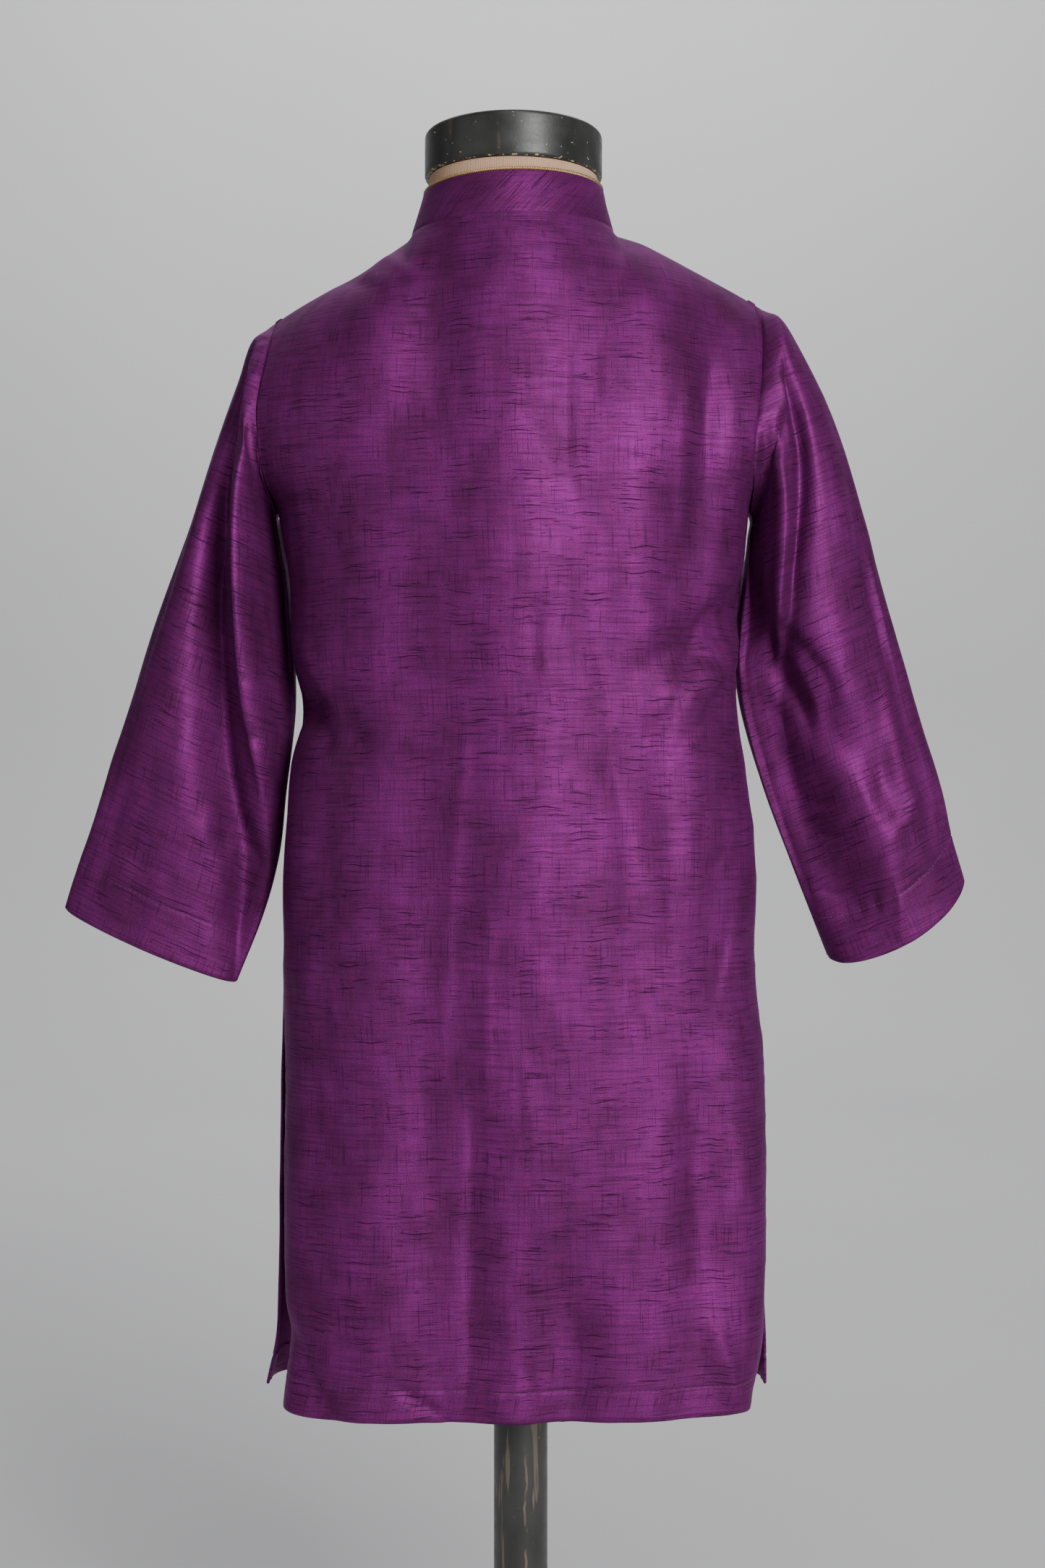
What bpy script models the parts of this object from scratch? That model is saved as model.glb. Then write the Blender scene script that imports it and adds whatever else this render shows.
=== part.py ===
"""A child's raw silk kurta tunic, worn by a plain dress form on a round stand.

Metres, +Z up. The origin is on the floor, under the pole. -Y is the back of the kurta and +Y its
front; +X is the wearer's right. Heights in the tables are measured up from the hem.
"""

import math

import bmesh
import bpy
import numpy as np

# Driving sizes.
HEM_HEIGHT = 0.290  # floor to hem
ARMPIT_UP = 0.535  # hem to armpit
SLIT_UP = 0.274  # hem to the top of each side slit
CLOTH = 0.0012  # wall of the silk
COLLAR_WALL = 0.0020  # two layers with interfacing
SEAM_GAP = 0.0003
PIPING_RADIUS = 0.0011

NECK_MID_X = -0.0050
NECK_SEAM_RADIUS = 0.0618
NECK_FRONT_RADIUS = 0.0650
NECK_SEAM_UP = 0.7005
NECK_FRONT_DROP = 0.030
NECK_SHARE = 0.36  # share of the half panel that ends at the neck
CHEST_HALF_LENGTH = 0.172  # along the cloth, from the middle to the side seam
COLLAR_TOP_RADIUS = 0.0548
COLLAR_TOP_UP = 0.7262
COLLAR_FRONT_DROP = 0.026
COLLAR_OPENING_DEG = 4.0  # half the gap between the collar's front ends
SHOULDER_SEAM_Y = 0.0040
NECK_LEAN = 0.0015  # how much higher the neck stands at the wearer's right
NECK_DROP_POWER = 1.6  # how late the neck falls towards its front

PLACKET_HALF_WIDTH = 0.0130
PLACKET_BOTTOM_UP = 0.520
PLACKET_OVERLAP = 0.009  # how far the upper strip laps the panel, as a share of its half width
PLACKET_TAIL = 0.012
PLACKET_UNDER_GAP = 0.00035  # between the under strip and each edge of the opening
STRIP_END_SHARE = 0.992  # the strips end just short of the collar seam
BUTTON_COUNT = 4
TOP_BUTTON_UP = 0.650
BUTTON_RADIUS = 0.0055
BUTTON_THICK = 0.0022
BUTTON_STANDS = 0.0009  # off the cloth, on its thread
LOW_BUTTON_RISE = 0.012  # above the placket's foot
BUTTON_EDGE = 0.0008
DISH_SHARE = 0.62  # of the radius
DISH_LEVEL = 0.7  # of the thickness

POLE_RADIUS = 0.0163
NECK_CAP_RADIUS = 0.0539
NECK_CAP_HEIGHT = 0.0270
NECK_RADIUS = 0.0514
FORM_MID_X = -0.0044
NECK_INSIDE_COLLAR = 0.0005
FORM_BOXY = 2.3
RIDGE_HALF_WIDTH = 0.0015
BASE_RADIUS = 0.150
BASE_THICK = 0.014
HUB_RADIUS = 0.027
HUB_HEIGHT = 0.040
SOCKET_DEPTH = 0.030
CAP_EDGE = 0.0015
CAP_ROUND = 0.0030
CAP_CROWN = 0.0010
BASE_EDGE = 0.002
BASE_ROUND = 0.006
HUB_ROUND = 0.003
HUB_FLARE = [(0.020, 0.002), (0.004, 0.006), (0.0, 0.012)]  # beyond the hub, above the plate
CLEARANCE = 0.0003
MERGE = 0.00002
SHARP_DEG = 60.0

# How the cloth's surface is shaped between its tables.
ARC_STEPS = 181
YOKE_STEEP_SHARE = 0.2  # beside the neck the yoke falls steeply out to here
YOKE_TURN_SHARE = 0.3  # and over this much more it comes to turn level
YOKE_LATE = 0.6
YOKE_ROUND = 0.5
NECK_SWELL_SHARE = 0.40
NECK_SWELL_POWER = 6
ARMHOLE_PULL_POWER = 3
SEAM_FADE = 0.16  # a panel's folds die away over this share of its half width
SLIT_FADE = 0.05
SLIT_FOLD = 0.6  # how much of a fold is left at a free edge
TOP_FADE = 0.25
SLEEVE_TOP_FADE = 0.10
CUFF_FADE = 0.12
FOLD_TAIL = 0.6  # how far a fold runs on past each end, as a share of its length

# How finely the cloth is divided.
NECK_COLUMNS = 7  # across half of a panel's neck
SHOULDER_COLUMNS = 8
SKIRT_ROWS = 18
YOKE_ROWS = 9
SLEEVE_BACK_COLUMNS = 16  # closer together behind, where the deep folds are
SLEEVE_FRONT_COLUMNS = 10
SLEEVE_ROWS = 20
COLLAR_ROWS = 3
CAP_SIDES = 36
POLE_SIDES = 24
BASE_SIDES = 40
BUTTON_SIDES = 16
BUTTON_ROWS = 60  # lines of the placket among which a button finds its place


def table(names, rows):
    """A dict of columns, by name, from a list of rows."""
    columns = np.array(rows, float).T
    return dict(zip(names.split(), columns, strict=True))


# The body of the kurta: where the side seams run and how deep the back and front hang. Below the
# slit the back and front panels part, and ajar is how far each edge stands from the other's.
SIDES = table(
    "up back_left back_right front_left front_right ajar back front boxy",
    [
        (0.000, -0.1415, 0.1358, -0.1560, 0.1511, 0.0150, -0.0660, 0.0660, 3.6),
        (0.032, -0.1384, 0.1440, -0.1498, 0.1507, 0.0110, -0.0660, 0.0660, 3.4),
        (0.066, -0.1412, 0.1460, -0.1487, 0.1490, 0.0090, -0.0670, 0.0670, 3.2),
        (0.126, -0.1420, 0.1478, -0.1472, 0.1490, 0.0070, -0.0690, 0.0700, 3.0),
        (0.209, -0.1418, 0.1455, -0.1463, 0.1463, 0.0050, -0.0720, 0.0730, 2.9),
        (0.250, -0.1434, 0.1424, -0.1444, 0.1430, 0.0020, -0.0740, 0.0750, 2.8),
        (0.274, -0.1430, 0.1418, -0.1430, 0.1418, 0.0000, -0.0750, 0.0760, 2.7),
        (0.309, -0.1437, 0.1430, -0.1437, 0.1430, 0.0000, -0.0770, 0.0770, 2.6),
        (0.342, -0.1415, 0.1402, -0.1415, 0.1402, 0.0000, -0.0780, 0.0770, 2.6),
        (0.377, -0.1388, 0.1358, -0.1388, 0.1358, 0.0000, -0.0790, 0.0770, 2.5),
        (0.409, -0.1328, 0.1310, -0.1328, 0.1310, 0.0000, -0.0800, 0.0780, 2.5),
        (0.451, -0.1380, 0.1300, -0.1380, 0.1300, 0.0000, -0.0830, 0.0800, 2.4),
        (0.487, -0.1392, 0.1338, -0.1392, 0.1338, 0.0000, -0.0870, 0.0830, 2.4),
        (0.535, -0.1474, 0.1384, -0.1474, 0.1384, 0.0000, -0.0900, 0.0850, 2.3),
    ],
)

# The armholes, from the armpit, share 0, to the tip of the shoulder, share 1.
ARMHOLES = {
    "left": table(
        "share back_x back_y front_x front_y up",
        [
            (0.00, -0.1474, 0.000, -0.1474, 0.000, 0.535),
            (0.12, -0.1500, -0.028, -0.1450, 0.026, 0.543),
            (0.30, -0.1540, -0.046, -0.1425, 0.039, 0.560),
            (0.50, -0.1553, -0.047, -0.1420, 0.041, 0.588),
            (0.70, -0.1522, -0.036, -0.1440, 0.033, 0.615),
            (0.85, -0.1500, -0.020, -0.1475, 0.022, 0.635),
            (1.00, -0.1500, 0.004, -0.1500, 0.004, 0.650),
        ],
    ),
    "right": table(
        "share back_x back_y front_x front_y up",
        [
            (0.00, 0.1384, 0.000, 0.1384, 0.000, 0.535),
            (0.12, 0.1380, -0.028, 0.1365, 0.026, 0.543),
            (0.30, 0.1372, -0.047, 0.1348, 0.039, 0.560),
            (0.50, 0.1395, -0.048, 0.1348, 0.041, 0.588),
            (0.70, 0.1428, -0.036, 0.1370, 0.033, 0.618),
            (0.85, 0.1442, -0.020, 0.1408, 0.022, 0.643),
            (1.00, 0.1434, 0.004, 0.1434, 0.004, 0.661),
        ],
    ),
}

# The shoulder seams, from the tip, share 0, to the neck, share 1.
SHOULDERS = {
    "left": table(
        "share x up",
        [
            (0.00, -0.1500, 0.6500),
            (0.20, -0.1340, 0.6590),
            (0.43, -0.1160, 0.6682),
            (0.66, -0.0968, 0.6774),
            (0.84, -0.0823, 0.6868),
            (1.00, -0.0668, 0.6992),
        ],
    ),
    "right": table(
        "share x up",
        [
            (0.00, 0.1434, 0.6610),
            (0.17, 0.1283, 0.6686),
            (0.40, 0.1090, 0.6780),
            (0.60, 0.0910, 0.6868),
            (0.80, 0.0740, 0.6948),
            (1.00, 0.0568, 0.7020),
        ],
    ),
}

# The sleeves below the armhole. Each row is a ring from its outer edge to its inner one, with its
# depth behind and in front. The hang lowers its back and raises its front, and the swell moves
# both away from the body.
SLEEVES = {
    "left": table(
        "along out_x out_up in_x in_up mid_y back front hang swell boxy",
        [
            (0.07, -0.1615, 0.6383, -0.1494, 0.5275, 0.000, 0.046, 0.042, 0.000, 0.0060, 2.2),
            (0.15, -0.1703, 0.6136, -0.1475, 0.5150, 0.000, 0.045, 0.042, 0.000, 0.0060, 2.2),
            (0.28, -0.1880, 0.5640, -0.1432, 0.4900, 0.001, 0.043, 0.041, 0.001, 0.0040, 2.2),
            (0.41, -0.2065, 0.5090, -0.1408, 0.4560, 0.002, 0.040, 0.039, 0.002, 0.0020, 2.1),
            (0.55, -0.2279, 0.4500, -0.1384, 0.4100, 0.004, 0.035, 0.034, 0.003, 0.0000, 2.0),
            (0.68, -0.2450, 0.3970, -0.1434, 0.3620, 0.006, 0.029, 0.028, 0.003, 0.0000, 1.9),
            (0.80, -0.2595, 0.3520, -0.1482, 0.3220, 0.009, 0.023, 0.023, 0.003, 0.0000, 1.9),
            (0.91, -0.2725, 0.3160, -0.1590, 0.2850, 0.011, 0.019, 0.020, 0.003, 0.0000, 1.8),
            (1.00, -0.2795, 0.2932, -0.1740, 0.2475, 0.012, 0.017, 0.019, 0.003, 0.0000, 1.8),
        ],
    ),
    "right": table(
        "along out_x out_up in_x in_up mid_y back front hang swell boxy",
        [
            (0.07, 0.1536, 0.6524, 0.1404, 0.5285, 0.000, 0.047, 0.042, 0.000, 0.0050, 2.2),
            (0.15, 0.1663, 0.6356, 0.1392, 0.5190, 0.001, 0.047, 0.042, 0.000, 0.0050, 2.2),
            (0.28, 0.1892, 0.5908, 0.1366, 0.4970, 0.003, 0.046, 0.041, 0.001, 0.0030, 2.2),
            (0.41, 0.2083, 0.5320, 0.1333, 0.4600, 0.006, 0.042, 0.040, 0.003, 0.0010, 2.2),
            (0.55, 0.2230, 0.4830, 0.1342, 0.4190, 0.010, 0.037, 0.038, 0.006, 0.0000, 2.1),
            (0.68, 0.2410, 0.4235, 0.1492, 0.3672, 0.016, 0.033, 0.035, 0.009, 0.0000, 2.0),
            (0.80, 0.2590, 0.3690, 0.1662, 0.3230, 0.023, 0.030, 0.032, 0.012, 0.0000, 1.9),
            (0.91, 0.2670, 0.3370, 0.1772, 0.2960, 0.028, 0.028, 0.030, 0.014, 0.0000, 1.8),
            (1.00, 0.2748, 0.3118, 0.1914, 0.2610, 0.031, 0.026, 0.029, 0.015, 0.0000, 1.8),
        ],
    ),
}

# Soft folds in the panels: a line from one place to another, how wide it is to each side and how
# far it stands out, or in where that is negative.
BACK_FOLDS = table(
    "x0 up0 x1 up1 left_width right_width out",
    [
        (-0.050, 0.560, -0.046, 0.330, 0.022, 0.030, -0.0030),
        (0.010, 0.620, -0.004, 0.060, 0.040, 0.040, 0.0035),
        (0.046, 0.480, 0.084, 0.240, 0.018, 0.034, -0.0045),
        (0.112, 0.600, 0.100, 0.500, 0.014, 0.020, -0.0060),
        (0.128, 0.470, 0.090, 0.446, 0.010, 0.010, -0.0050),
        (0.126, 0.437, 0.096, 0.420, 0.010, 0.010, 0.0040),
        (-0.122, 0.412, -0.100, 0.396, 0.012, 0.014, -0.0070),
        (0.112, 0.230, 0.104, 0.060, 0.020, 0.018, -0.0050),
        (-0.090, 0.200, -0.088, 0.000, 0.026, 0.026, 0.0040),
        (0.028, 0.060, 0.026, 0.000, 0.016, 0.016, -0.0060),
        (-0.036, 0.130, -0.034, 0.000, 0.018, 0.030, -0.0035),
    ],
)
FRONT_FOLDS = table(
    "x0 up0 x1 up1 left_width right_width out",
    [
        (-0.060, 0.500, -0.078, 0.220, 0.026, 0.022, -0.0040),
        (0.062, 0.490, 0.080, 0.240, 0.022, 0.026, -0.0040),
        (0.010, 0.480, 0.004, 0.060, 0.036, 0.036, 0.0035),
        (-0.112, 0.585, -0.104, 0.500, 0.018, 0.014, -0.0050),
        (0.112, 0.585, 0.100, 0.500, 0.014, 0.018, -0.0050),
        (-0.104, 0.240, -0.100, 0.000, 0.022, 0.020, 0.0045),
        (0.096, 0.200, 0.092, 0.000, 0.022, 0.024, 0.0045),
        (-0.040, 0.150, -0.044, 0.000, 0.020, 0.024, -0.0040),
        (0.044, 0.120, 0.042, 0.000, 0.022, 0.020, -0.0050),
    ],
)

# Folds in the sleeves run by the share of the length and of the way round, which starts at the
# outer edge and goes by the back.
SLEEVE_FOLDS = {
    "left": table(
        "along0 turn0 along1 turn1 bow near_width far_width out",
        [
            (0.17, 0.172, 0.80, 0.385, 0.036, 0.034, 0.060, -0.0130),
            (0.17, 0.285, 0.60, 0.375, 0.018, 0.036, 0.030, 0.0060),
            (0.20, 0.590, 0.42, 0.580, 0.000, 0.045, 0.050, 0.0042),
            (0.30, 0.760, 0.70, 0.720, 0.000, 0.050, 0.050, -0.0080),
        ],
    ),
    "right": table(
        "along0 turn0 along1 turn1 bow near_width far_width out",
        [
            (0.16, 0.215, 0.42, 0.300, 0.000, 0.022, 0.026, -0.0060),
            (0.14, 0.300, 0.42, 0.330, 0.000, 0.028, 0.028, 0.0045),
            (0.33, 0.590, 0.44, 0.585, 0.000, 0.045, 0.050, 0.0036),
            (0.46, 0.380, 0.64, 0.270, 0.000, 0.034, 0.040, -0.0090),
            (0.60, 0.385, 0.86, 0.360, 0.000, 0.060, 0.070, -0.0080),
            (0.60, 0.250, 0.82, 0.250, 0.000, 0.040, 0.040, 0.0040),
            (0.50, 0.110, 0.74, 0.120, 0.000, 0.030, 0.040, -0.0040),
            (0.36, 0.720, 0.66, 0.690, 0.000, 0.050, 0.050, -0.0080),
        ],
    ),
}

# The dress form lies inside the cloth by these amounts: below the armpit by height, and above it
# by the share of the way to the shoulder and neck seams.
TORSO_INSET = table(
    "up inset",
    [
        (0.205, 0.0300),
        (0.209, 0.0250),
        (0.218, 0.0220),
        (0.240, 0.0200),
        (0.300, 0.0180),
        (0.360, 0.0180),
        (0.420, 0.0180),
        (0.490, 0.0140),
        (0.535, 0.0110),
    ],
)
YOKE_INSET = table(
    "share inset",
    [(0.0, 0.0110), (0.5, 0.0085), (0.8, 0.0060), (0.93, 0.0038), (1.0, 0.0020)],
)
NECK_TOP_UP = 0.7352

COLOURS = {
    "silk": ((0.30, 0.05, 0.28), 0.5, 0.0),
    "gold": ((0.60, 0.42, 0.16), 0.35, 0.8),
    "button": ((0.24, 0.04, 0.22), 0.4, 0.0),
    "jersey": ((0.72, 0.52, 0.38), 0.8, 0.0),
    "black": ((0.03, 0.03, 0.03), 0.35, 0.0),
}


# Curves and sections.


def curve_through(knots, values, at):
    """Values of a smooth curve through table rows, at the given places."""
    knots = np.asarray(knots, float)
    values = np.asarray(values, float)
    at = np.clip(np.asarray(at, float), knots[0], knots[-1])
    slopes = np.gradient(values, knots, axis=0)
    i = np.clip(np.searchsorted(knots, at, side="right") - 1, 0, len(knots) - 2)
    span = knots[i + 1] - knots[i]
    f = (at - knots[i]) / span
    shape = f.shape + (1,) * (values.ndim - 1)
    f, span = f.reshape(shape), span.reshape(shape)
    ease = f * f * (3 - 2 * f)
    start = values[i] * (1 - ease) + values[i + 1] * ease
    bend = f * (1 - f) ** 2 * slopes[i] - f * f * (1 - f) * slopes[i + 1]
    return start + span * bend


def read(columns, key, name, at):
    return curve_through(columns[key], columns[name], at)


def arc(left, right, edge_y, deep_y, boxy, shares):
    """A half section from one edge to the other, at shares -1 to 1 of its length."""
    angle = np.linspace(-math.pi / 2, math.pi / 2, ARC_STEPS)
    across = np.sign(np.sin(angle)) * np.abs(np.sin(angle)) ** (2 / boxy)
    depth = np.abs(np.cos(angle)) ** (2 / boxy)
    x = (left + right) / 2 + (right - left) / 2 * across
    y = edge_y + (deep_y - edge_y) * depth
    run = np.concatenate([[0], np.cumsum(np.hypot(np.diff(x), np.diff(y)))])
    place = (np.asarray(shares) + 1) / 2 * run[-1]
    return np.interp(place, run, x), np.interp(place, run, y)


def neck_ring(angle, back_radius, front_radius, side_radius, up, drop, mid_x=NECK_MID_X):
    """A ring round the neck. The angle is 0 at the back and a right angle at the wearer's right."""
    facing = np.cos(angle)
    y = np.where(facing > 0, -back_radius * facing, -front_radius * facing)
    fall = drop * np.clip(-facing, 0, 1) ** NECK_DROP_POWER
    lean = NECK_LEAN * np.sin(angle)
    return np.stack([mid_x + side_radius * np.sin(angle), y, up + lean - fall], axis=-1)


def neck_seam(angle):
    return neck_ring(
        angle, NECK_SEAM_RADIUS, NECK_FRONT_RADIUS, NECK_SEAM_RADIUS, NECK_SEAM_UP, NECK_FRONT_DROP
    )


def skirt_row(side, up, shares):
    """The panel from side seam to side seam, below the armpit."""
    sign = -1 if side == "back" else 1
    edge = sign * (SEAM_GAP / 2 + read(SIDES, "up", "ajar", up))
    x, y = arc(
        float(read(SIDES, "up", side + "_left", up)),
        float(read(SIDES, "up", side + "_right", up)),
        float(edge),
        float(read(SIDES, "up", side, up)),
        float(read(SIDES, "up", "boxy", up)),
        shares,
    )
    return np.stack([x, y, np.full(len(x), up)], axis=-1)


def top_row(side, shares):
    """The panel's top edge: one shoulder seam, the neck and the other shoulder seam."""
    sign = -1 if side == "back" else 1
    points = np.zeros((len(shares), 3))
    for k, share in enumerate(shares):
        if abs(share) <= NECK_SHARE:
            angle = math.asin(share / NECK_SHARE)
            angle = angle if side == "back" else math.pi - angle
            points[k] = neck_seam(np.array(angle)) + (0, sign * SEAM_GAP / 2, -SEAM_GAP)
            continue
        hand = "left" if share < 0 else "right"
        line = SHOULDERS[hand]
        along = (1 - abs(share)) / (1 - NECK_SHARE)
        y = SHOULDER_SEAM_Y * (1 - along) + sign * SEAM_GAP / 2
        points[k] = (read(line, "share", "x", along), y, read(line, "share", "up", along))
    return points


def armhole(side, hand, share):
    hole = ARMHOLES[hand]
    sign = -1 if side == "back" else 1
    return np.stack(
        [
            read(hole, "share", side + "_x", share),
            read(hole, "share", side + "_y", share) + sign * SEAM_GAP / 2,
            read(hole, "share", "up", share),
        ],
        axis=-1,
    )


def yoke_row(side, share, shares, bottom, top):
    """The panel above the armpit, from its chest row to the shoulder and neck seams."""
    # Steep at the neck, and turning level over the shoulders.
    turn = fade(np.abs(shares) - YOKE_STEEP_SHARE, YOKE_TURN_SHARE)
    over = (1 - share ** (2.0 + YOKE_LATE * turn)) ** (1.0 - YOKE_ROUND * turn)
    row = bottom * (1 - share) + top * share
    # The neck's round shape fades into a softer swell a little way below its seam.
    radius = NECK_SEAM_RADIUS if side == "back" else -NECK_FRONT_RADIUS
    soft = -radius * np.exp(-((shares / NECK_SWELL_SHARE) ** 2))
    top_y = soft + (top[:, 1] - soft) * share**NECK_SWELL_POWER
    row[:, 1] = top_y + (bottom[:, 1] - top_y) * over
    for hand, end in (("left", 0), ("right", -1)):
        if is_edge(shares[end]):
            reach = np.clip(-shares if hand == "left" else shares, 0, 1) ** ARMHOLE_PULL_POWER
            row = row + reach[:, None] * (armhole(side, hand, share) - row[end])
    return row


def is_edge(share):
    """Whether a column is the side edge of its panel."""
    return abs(share) > 0.999


def panel_grid(side, shares, skirt_ups, yoke_shares):
    """The outer points of the back or front panel, from the hem to the neck."""
    rows = [skirt_row(side, up, shares) for up in skirt_ups]
    bottom = skirt_row(side, ARMPIT_UP, shares)
    top = top_row(side, shares)
    rows += [yoke_row(side, share, shares, bottom, top) for share in yoke_shares]
    return np.array(rows)


def length_of(vectors):
    return np.maximum(np.linalg.norm(vectors, axis=-1, keepdims=True), 1e-12)


def normals_of(grid, closed=False):
    """Unit normals of a grid of points, on the side of columns crossed with rows."""
    across = np.gradient(grid, axis=1)
    if closed:
        ahead, behind = np.roll(grid, -1, axis=1) - grid, grid - np.roll(grid, 1, axis=1)
        across = ahead / length_of(ahead) + behind / length_of(behind)
    along = np.gradient(grid, axis=0)
    normal = np.cross(across, along)
    return normal / length_of(normal)


def fold_height(folds, names, first, second):
    """How far a set of folds moves each point, given the point's two places on the cloth."""
    a0, b0, a1, b1, near, far = names.split()
    total = np.zeros(first.shape)
    for k in range(len(folds["out"])):
        start = np.array([folds[a0][k], folds[b0][k]])
        line = np.array([folds[a1][k], folds[b1][k]]) - start
        length = np.hypot(*line)
        line = line / length
        da, db = first - start[0], second - start[1]
        run = da * line[0] + db * line[1]
        off = da * line[1] - db * line[0]
        if "bow" in folds:
            share = np.clip(run / length, 0, 1)
            off -= folds["bow"][k] * 4 * share * (1 - share)
        width = np.where(off < 0, folds[near][k], folds[far][k])
        past = np.maximum(np.maximum(-run, run - length), 0) / (FOLD_TAIL * length)
        total += folds["out"][k] * np.exp(-((off / width) ** 2) - past**2)
    return total


def fade(distance, reach):
    """0 at a seam, rising smoothly to 1 at that reach from it."""
    f = np.clip(distance / reach, 0, 1)
    return f * f * (3 - 2 * f)


def in_plane(normal, axis):
    """Unit normals with one component taken out."""
    flat = np.array(normal)
    flat[..., axis] = 0
    return flat / length_of(flat)


def armhole_normal(side, hand, share):
    """The way the seam faces round the armhole, which the panel and the sleeve share."""
    step = 0.02
    low = armhole(side, hand, np.clip(share - step, 0, 1))
    high = armhole(side, hand, np.clip(share + step, 0, 1))
    run = high - low
    turned = np.stack([0 * run[..., 0], -run[..., 2], run[..., 1]], axis=-1)
    turned *= 1 if side == "back" else -1
    # The loop closes level, at the armpit below and at the shoulder above.
    ends = np.array([[0, 0, -1.0], [0, 0, 1.0]])
    turned = turned / length_of(turned)
    turned = np.where((share < 0.01)[..., None], ends[0], turned)
    return np.where((share > 0.99)[..., None], ends[1], turned)


def panel_normals(side, shares, grid, rows_below, yoke_shares):
    """Which way the panel faces. At a seam both pieces face alike, so their edges meet squarely."""
    normal = normals_of(grid)
    normal = normal if side == "back" else -normal
    for column, hand in ((0, "left"), (-1, "right")):
        if is_edge(shares[column]):
            normal[:rows_below, column] = in_plane(normal[:rows_below, column], 1)
            normal[rows_below:, column] = armhole_normal(side, hand, np.array(yoke_shares))
    if len(yoke_shares) and yoke_shares[-1] > 0.999:
        shoulder = np.abs(shares) > NECK_SHARE - 1e-9
        normal[-1, shoulder] = in_plane(normal[-1, shoulder], 1)
    return normal


def panel_points(side, shares, skirt_ups, yoke_shares):
    """The panel with its folds, which die away at the seams, and the way it faces."""
    grid = panel_grid(side, shares, skirt_ups, yoke_shares)
    folds = BACK_FOLDS if side == "back" else FRONT_FOLDS
    # The fold tables call the lesser x left, and a fold that runs down has that on its right hand.
    height = fold_height(
        folds, "x0 up0 x1 up1 left_width right_width", grid[:, :, 0], grid[:, :, 2]
    )
    seam = fade(1 - np.abs(shares)[None, :], SEAM_FADE)
    free = fade(SLIT_UP - grid[:, :, 2], SLIT_FADE)
    height *= np.maximum(seam, free * SLIT_FOLD)
    upper = np.concatenate([np.zeros(len(skirt_ups)), yoke_shares])
    height *= fade(1 - upper, TOP_FADE)[:, None]
    outward = panel_normals(side, shares, grid, len(skirt_ups), yoke_shares)
    grid = grid + outward * height[:, :, None]
    return grid, panel_normals(side, shares, grid, len(skirt_ups), yoke_shares)


# Pieces of cloth.


def sleeve_ring(hand, row, turns):
    """One ring of a sleeve, at shares of the way round."""
    rings = SLEEVES[hand]
    out = np.array([rings["out_x"][row], rings["out_up"][row]])
    inner = np.array([rings["in_x"][row], rings["in_up"][row]])
    mid, half = (out + inner) / 2, (out - inner) / 2
    down = np.array([half[1], -half[0]]) / np.hypot(*half)
    down = down if down[1] < 0 else -down
    angle = turns * 2 * math.pi
    power = 2 / rings["boxy"][row]
    across = np.sign(np.cos(angle)) * np.abs(np.cos(angle)) ** power
    deep = np.sign(np.sin(angle)) * np.abs(np.sin(angle)) ** power
    depth = np.where(deep > 0, rings["back"][row], rings["front"][row])
    hang = rings["hang"][row] * np.sin(angle)
    away = -down if (down[0] > 0) == (out[0] < 0) else down
    swell = rings["swell"][row] * np.sin(angle) ** 2
    flat = mid + across[:, None] * half + hang[:, None] * down + swell[:, None] * away
    return np.stack([flat[:, 0], rings["mid_y"][row] - depth * deep, flat[:, 1]], axis=-1)


def sleeve_points(hand, turns, alongs):
    """The outer points of a sleeve, from just outside the armhole to the cuff."""
    sign = -1 if hand == "left" else 1
    behind = turns <= 0.5
    share = np.abs(1 - 2 * turns)
    ring = np.where(
        behind[:, None], armhole("back", hand, share), armhole("front", hand, share)
    )
    ring[:, 0] += sign * SEAM_GAP
    rings = [ring] + [sleeve_ring(hand, k, turns) for k in range(len(SLEEVES[hand]["along"]))]
    knots = np.concatenate([[0], SLEEVES[hand]["along"]])
    grid = curve_through(knots, np.array(rings), alongs)
    turn, along = np.meshgrid(turns, alongs)
    height = fold_height(
        SLEEVE_FOLDS[hand], "along0 turn0 along1 turn1 near_width far_width", along, turn
    )
    height *= fade(along, SLEEVE_TOP_FADE) * fade(1.02 - along, CUFF_FADE)
    sign = 1 if hand == "right" else -1
    grid = grid + sign * normals_of(grid, closed=True) * height[:, :, None]
    outward = sign * normals_of(grid, closed=True)
    outward[0] = np.where(
        behind[:, None],
        armhole_normal("back", hand, share),
        armhole_normal("front", hand, share),
    )
    return grid, outward


def collar_points(angles, shares):
    """The outer points of the collar, from its seam to its top edge."""
    seam = neck_seam(angles)
    top = neck_ring(
        angles,
        COLLAR_TOP_RADIUS,
        COLLAR_TOP_RADIUS,
        COLLAR_TOP_RADIUS,
        COLLAR_TOP_UP,
        COLLAR_FRONT_DROP,
        FORM_MID_X,
    )
    grid = np.array([seam * (1 - share) + top * share for share in shares])
    return grid, in_plane(normals_of(grid), 2)


# Blender objects.


def clear_scene():
    for obj in list(bpy.data.objects):
        bpy.data.objects.remove(obj)


def make_material(name):
    colour, roughness, metallic = COLOURS[name]
    material = bpy.data.materials.new(name)
    material.use_nodes = True
    shader = material.node_tree.nodes["Principled BSDF"]
    shader.inputs["Base Color"].default_value = (*colour, 1.0)
    shader.inputs["Roughness"].default_value = roughness
    shader.inputs["Metallic"].default_value = metallic
    return material


def add_object(collection, name, data, material):
    obj = bpy.data.objects.new(name, data)
    collection.objects.link(obj)
    obj.data.materials.append(material)
    return obj


def lift(points):
    """Points measured up from the hem, moved to their height above the floor."""
    return points + np.array([0.0, 0.0, HEM_HEIGHT])


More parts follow.
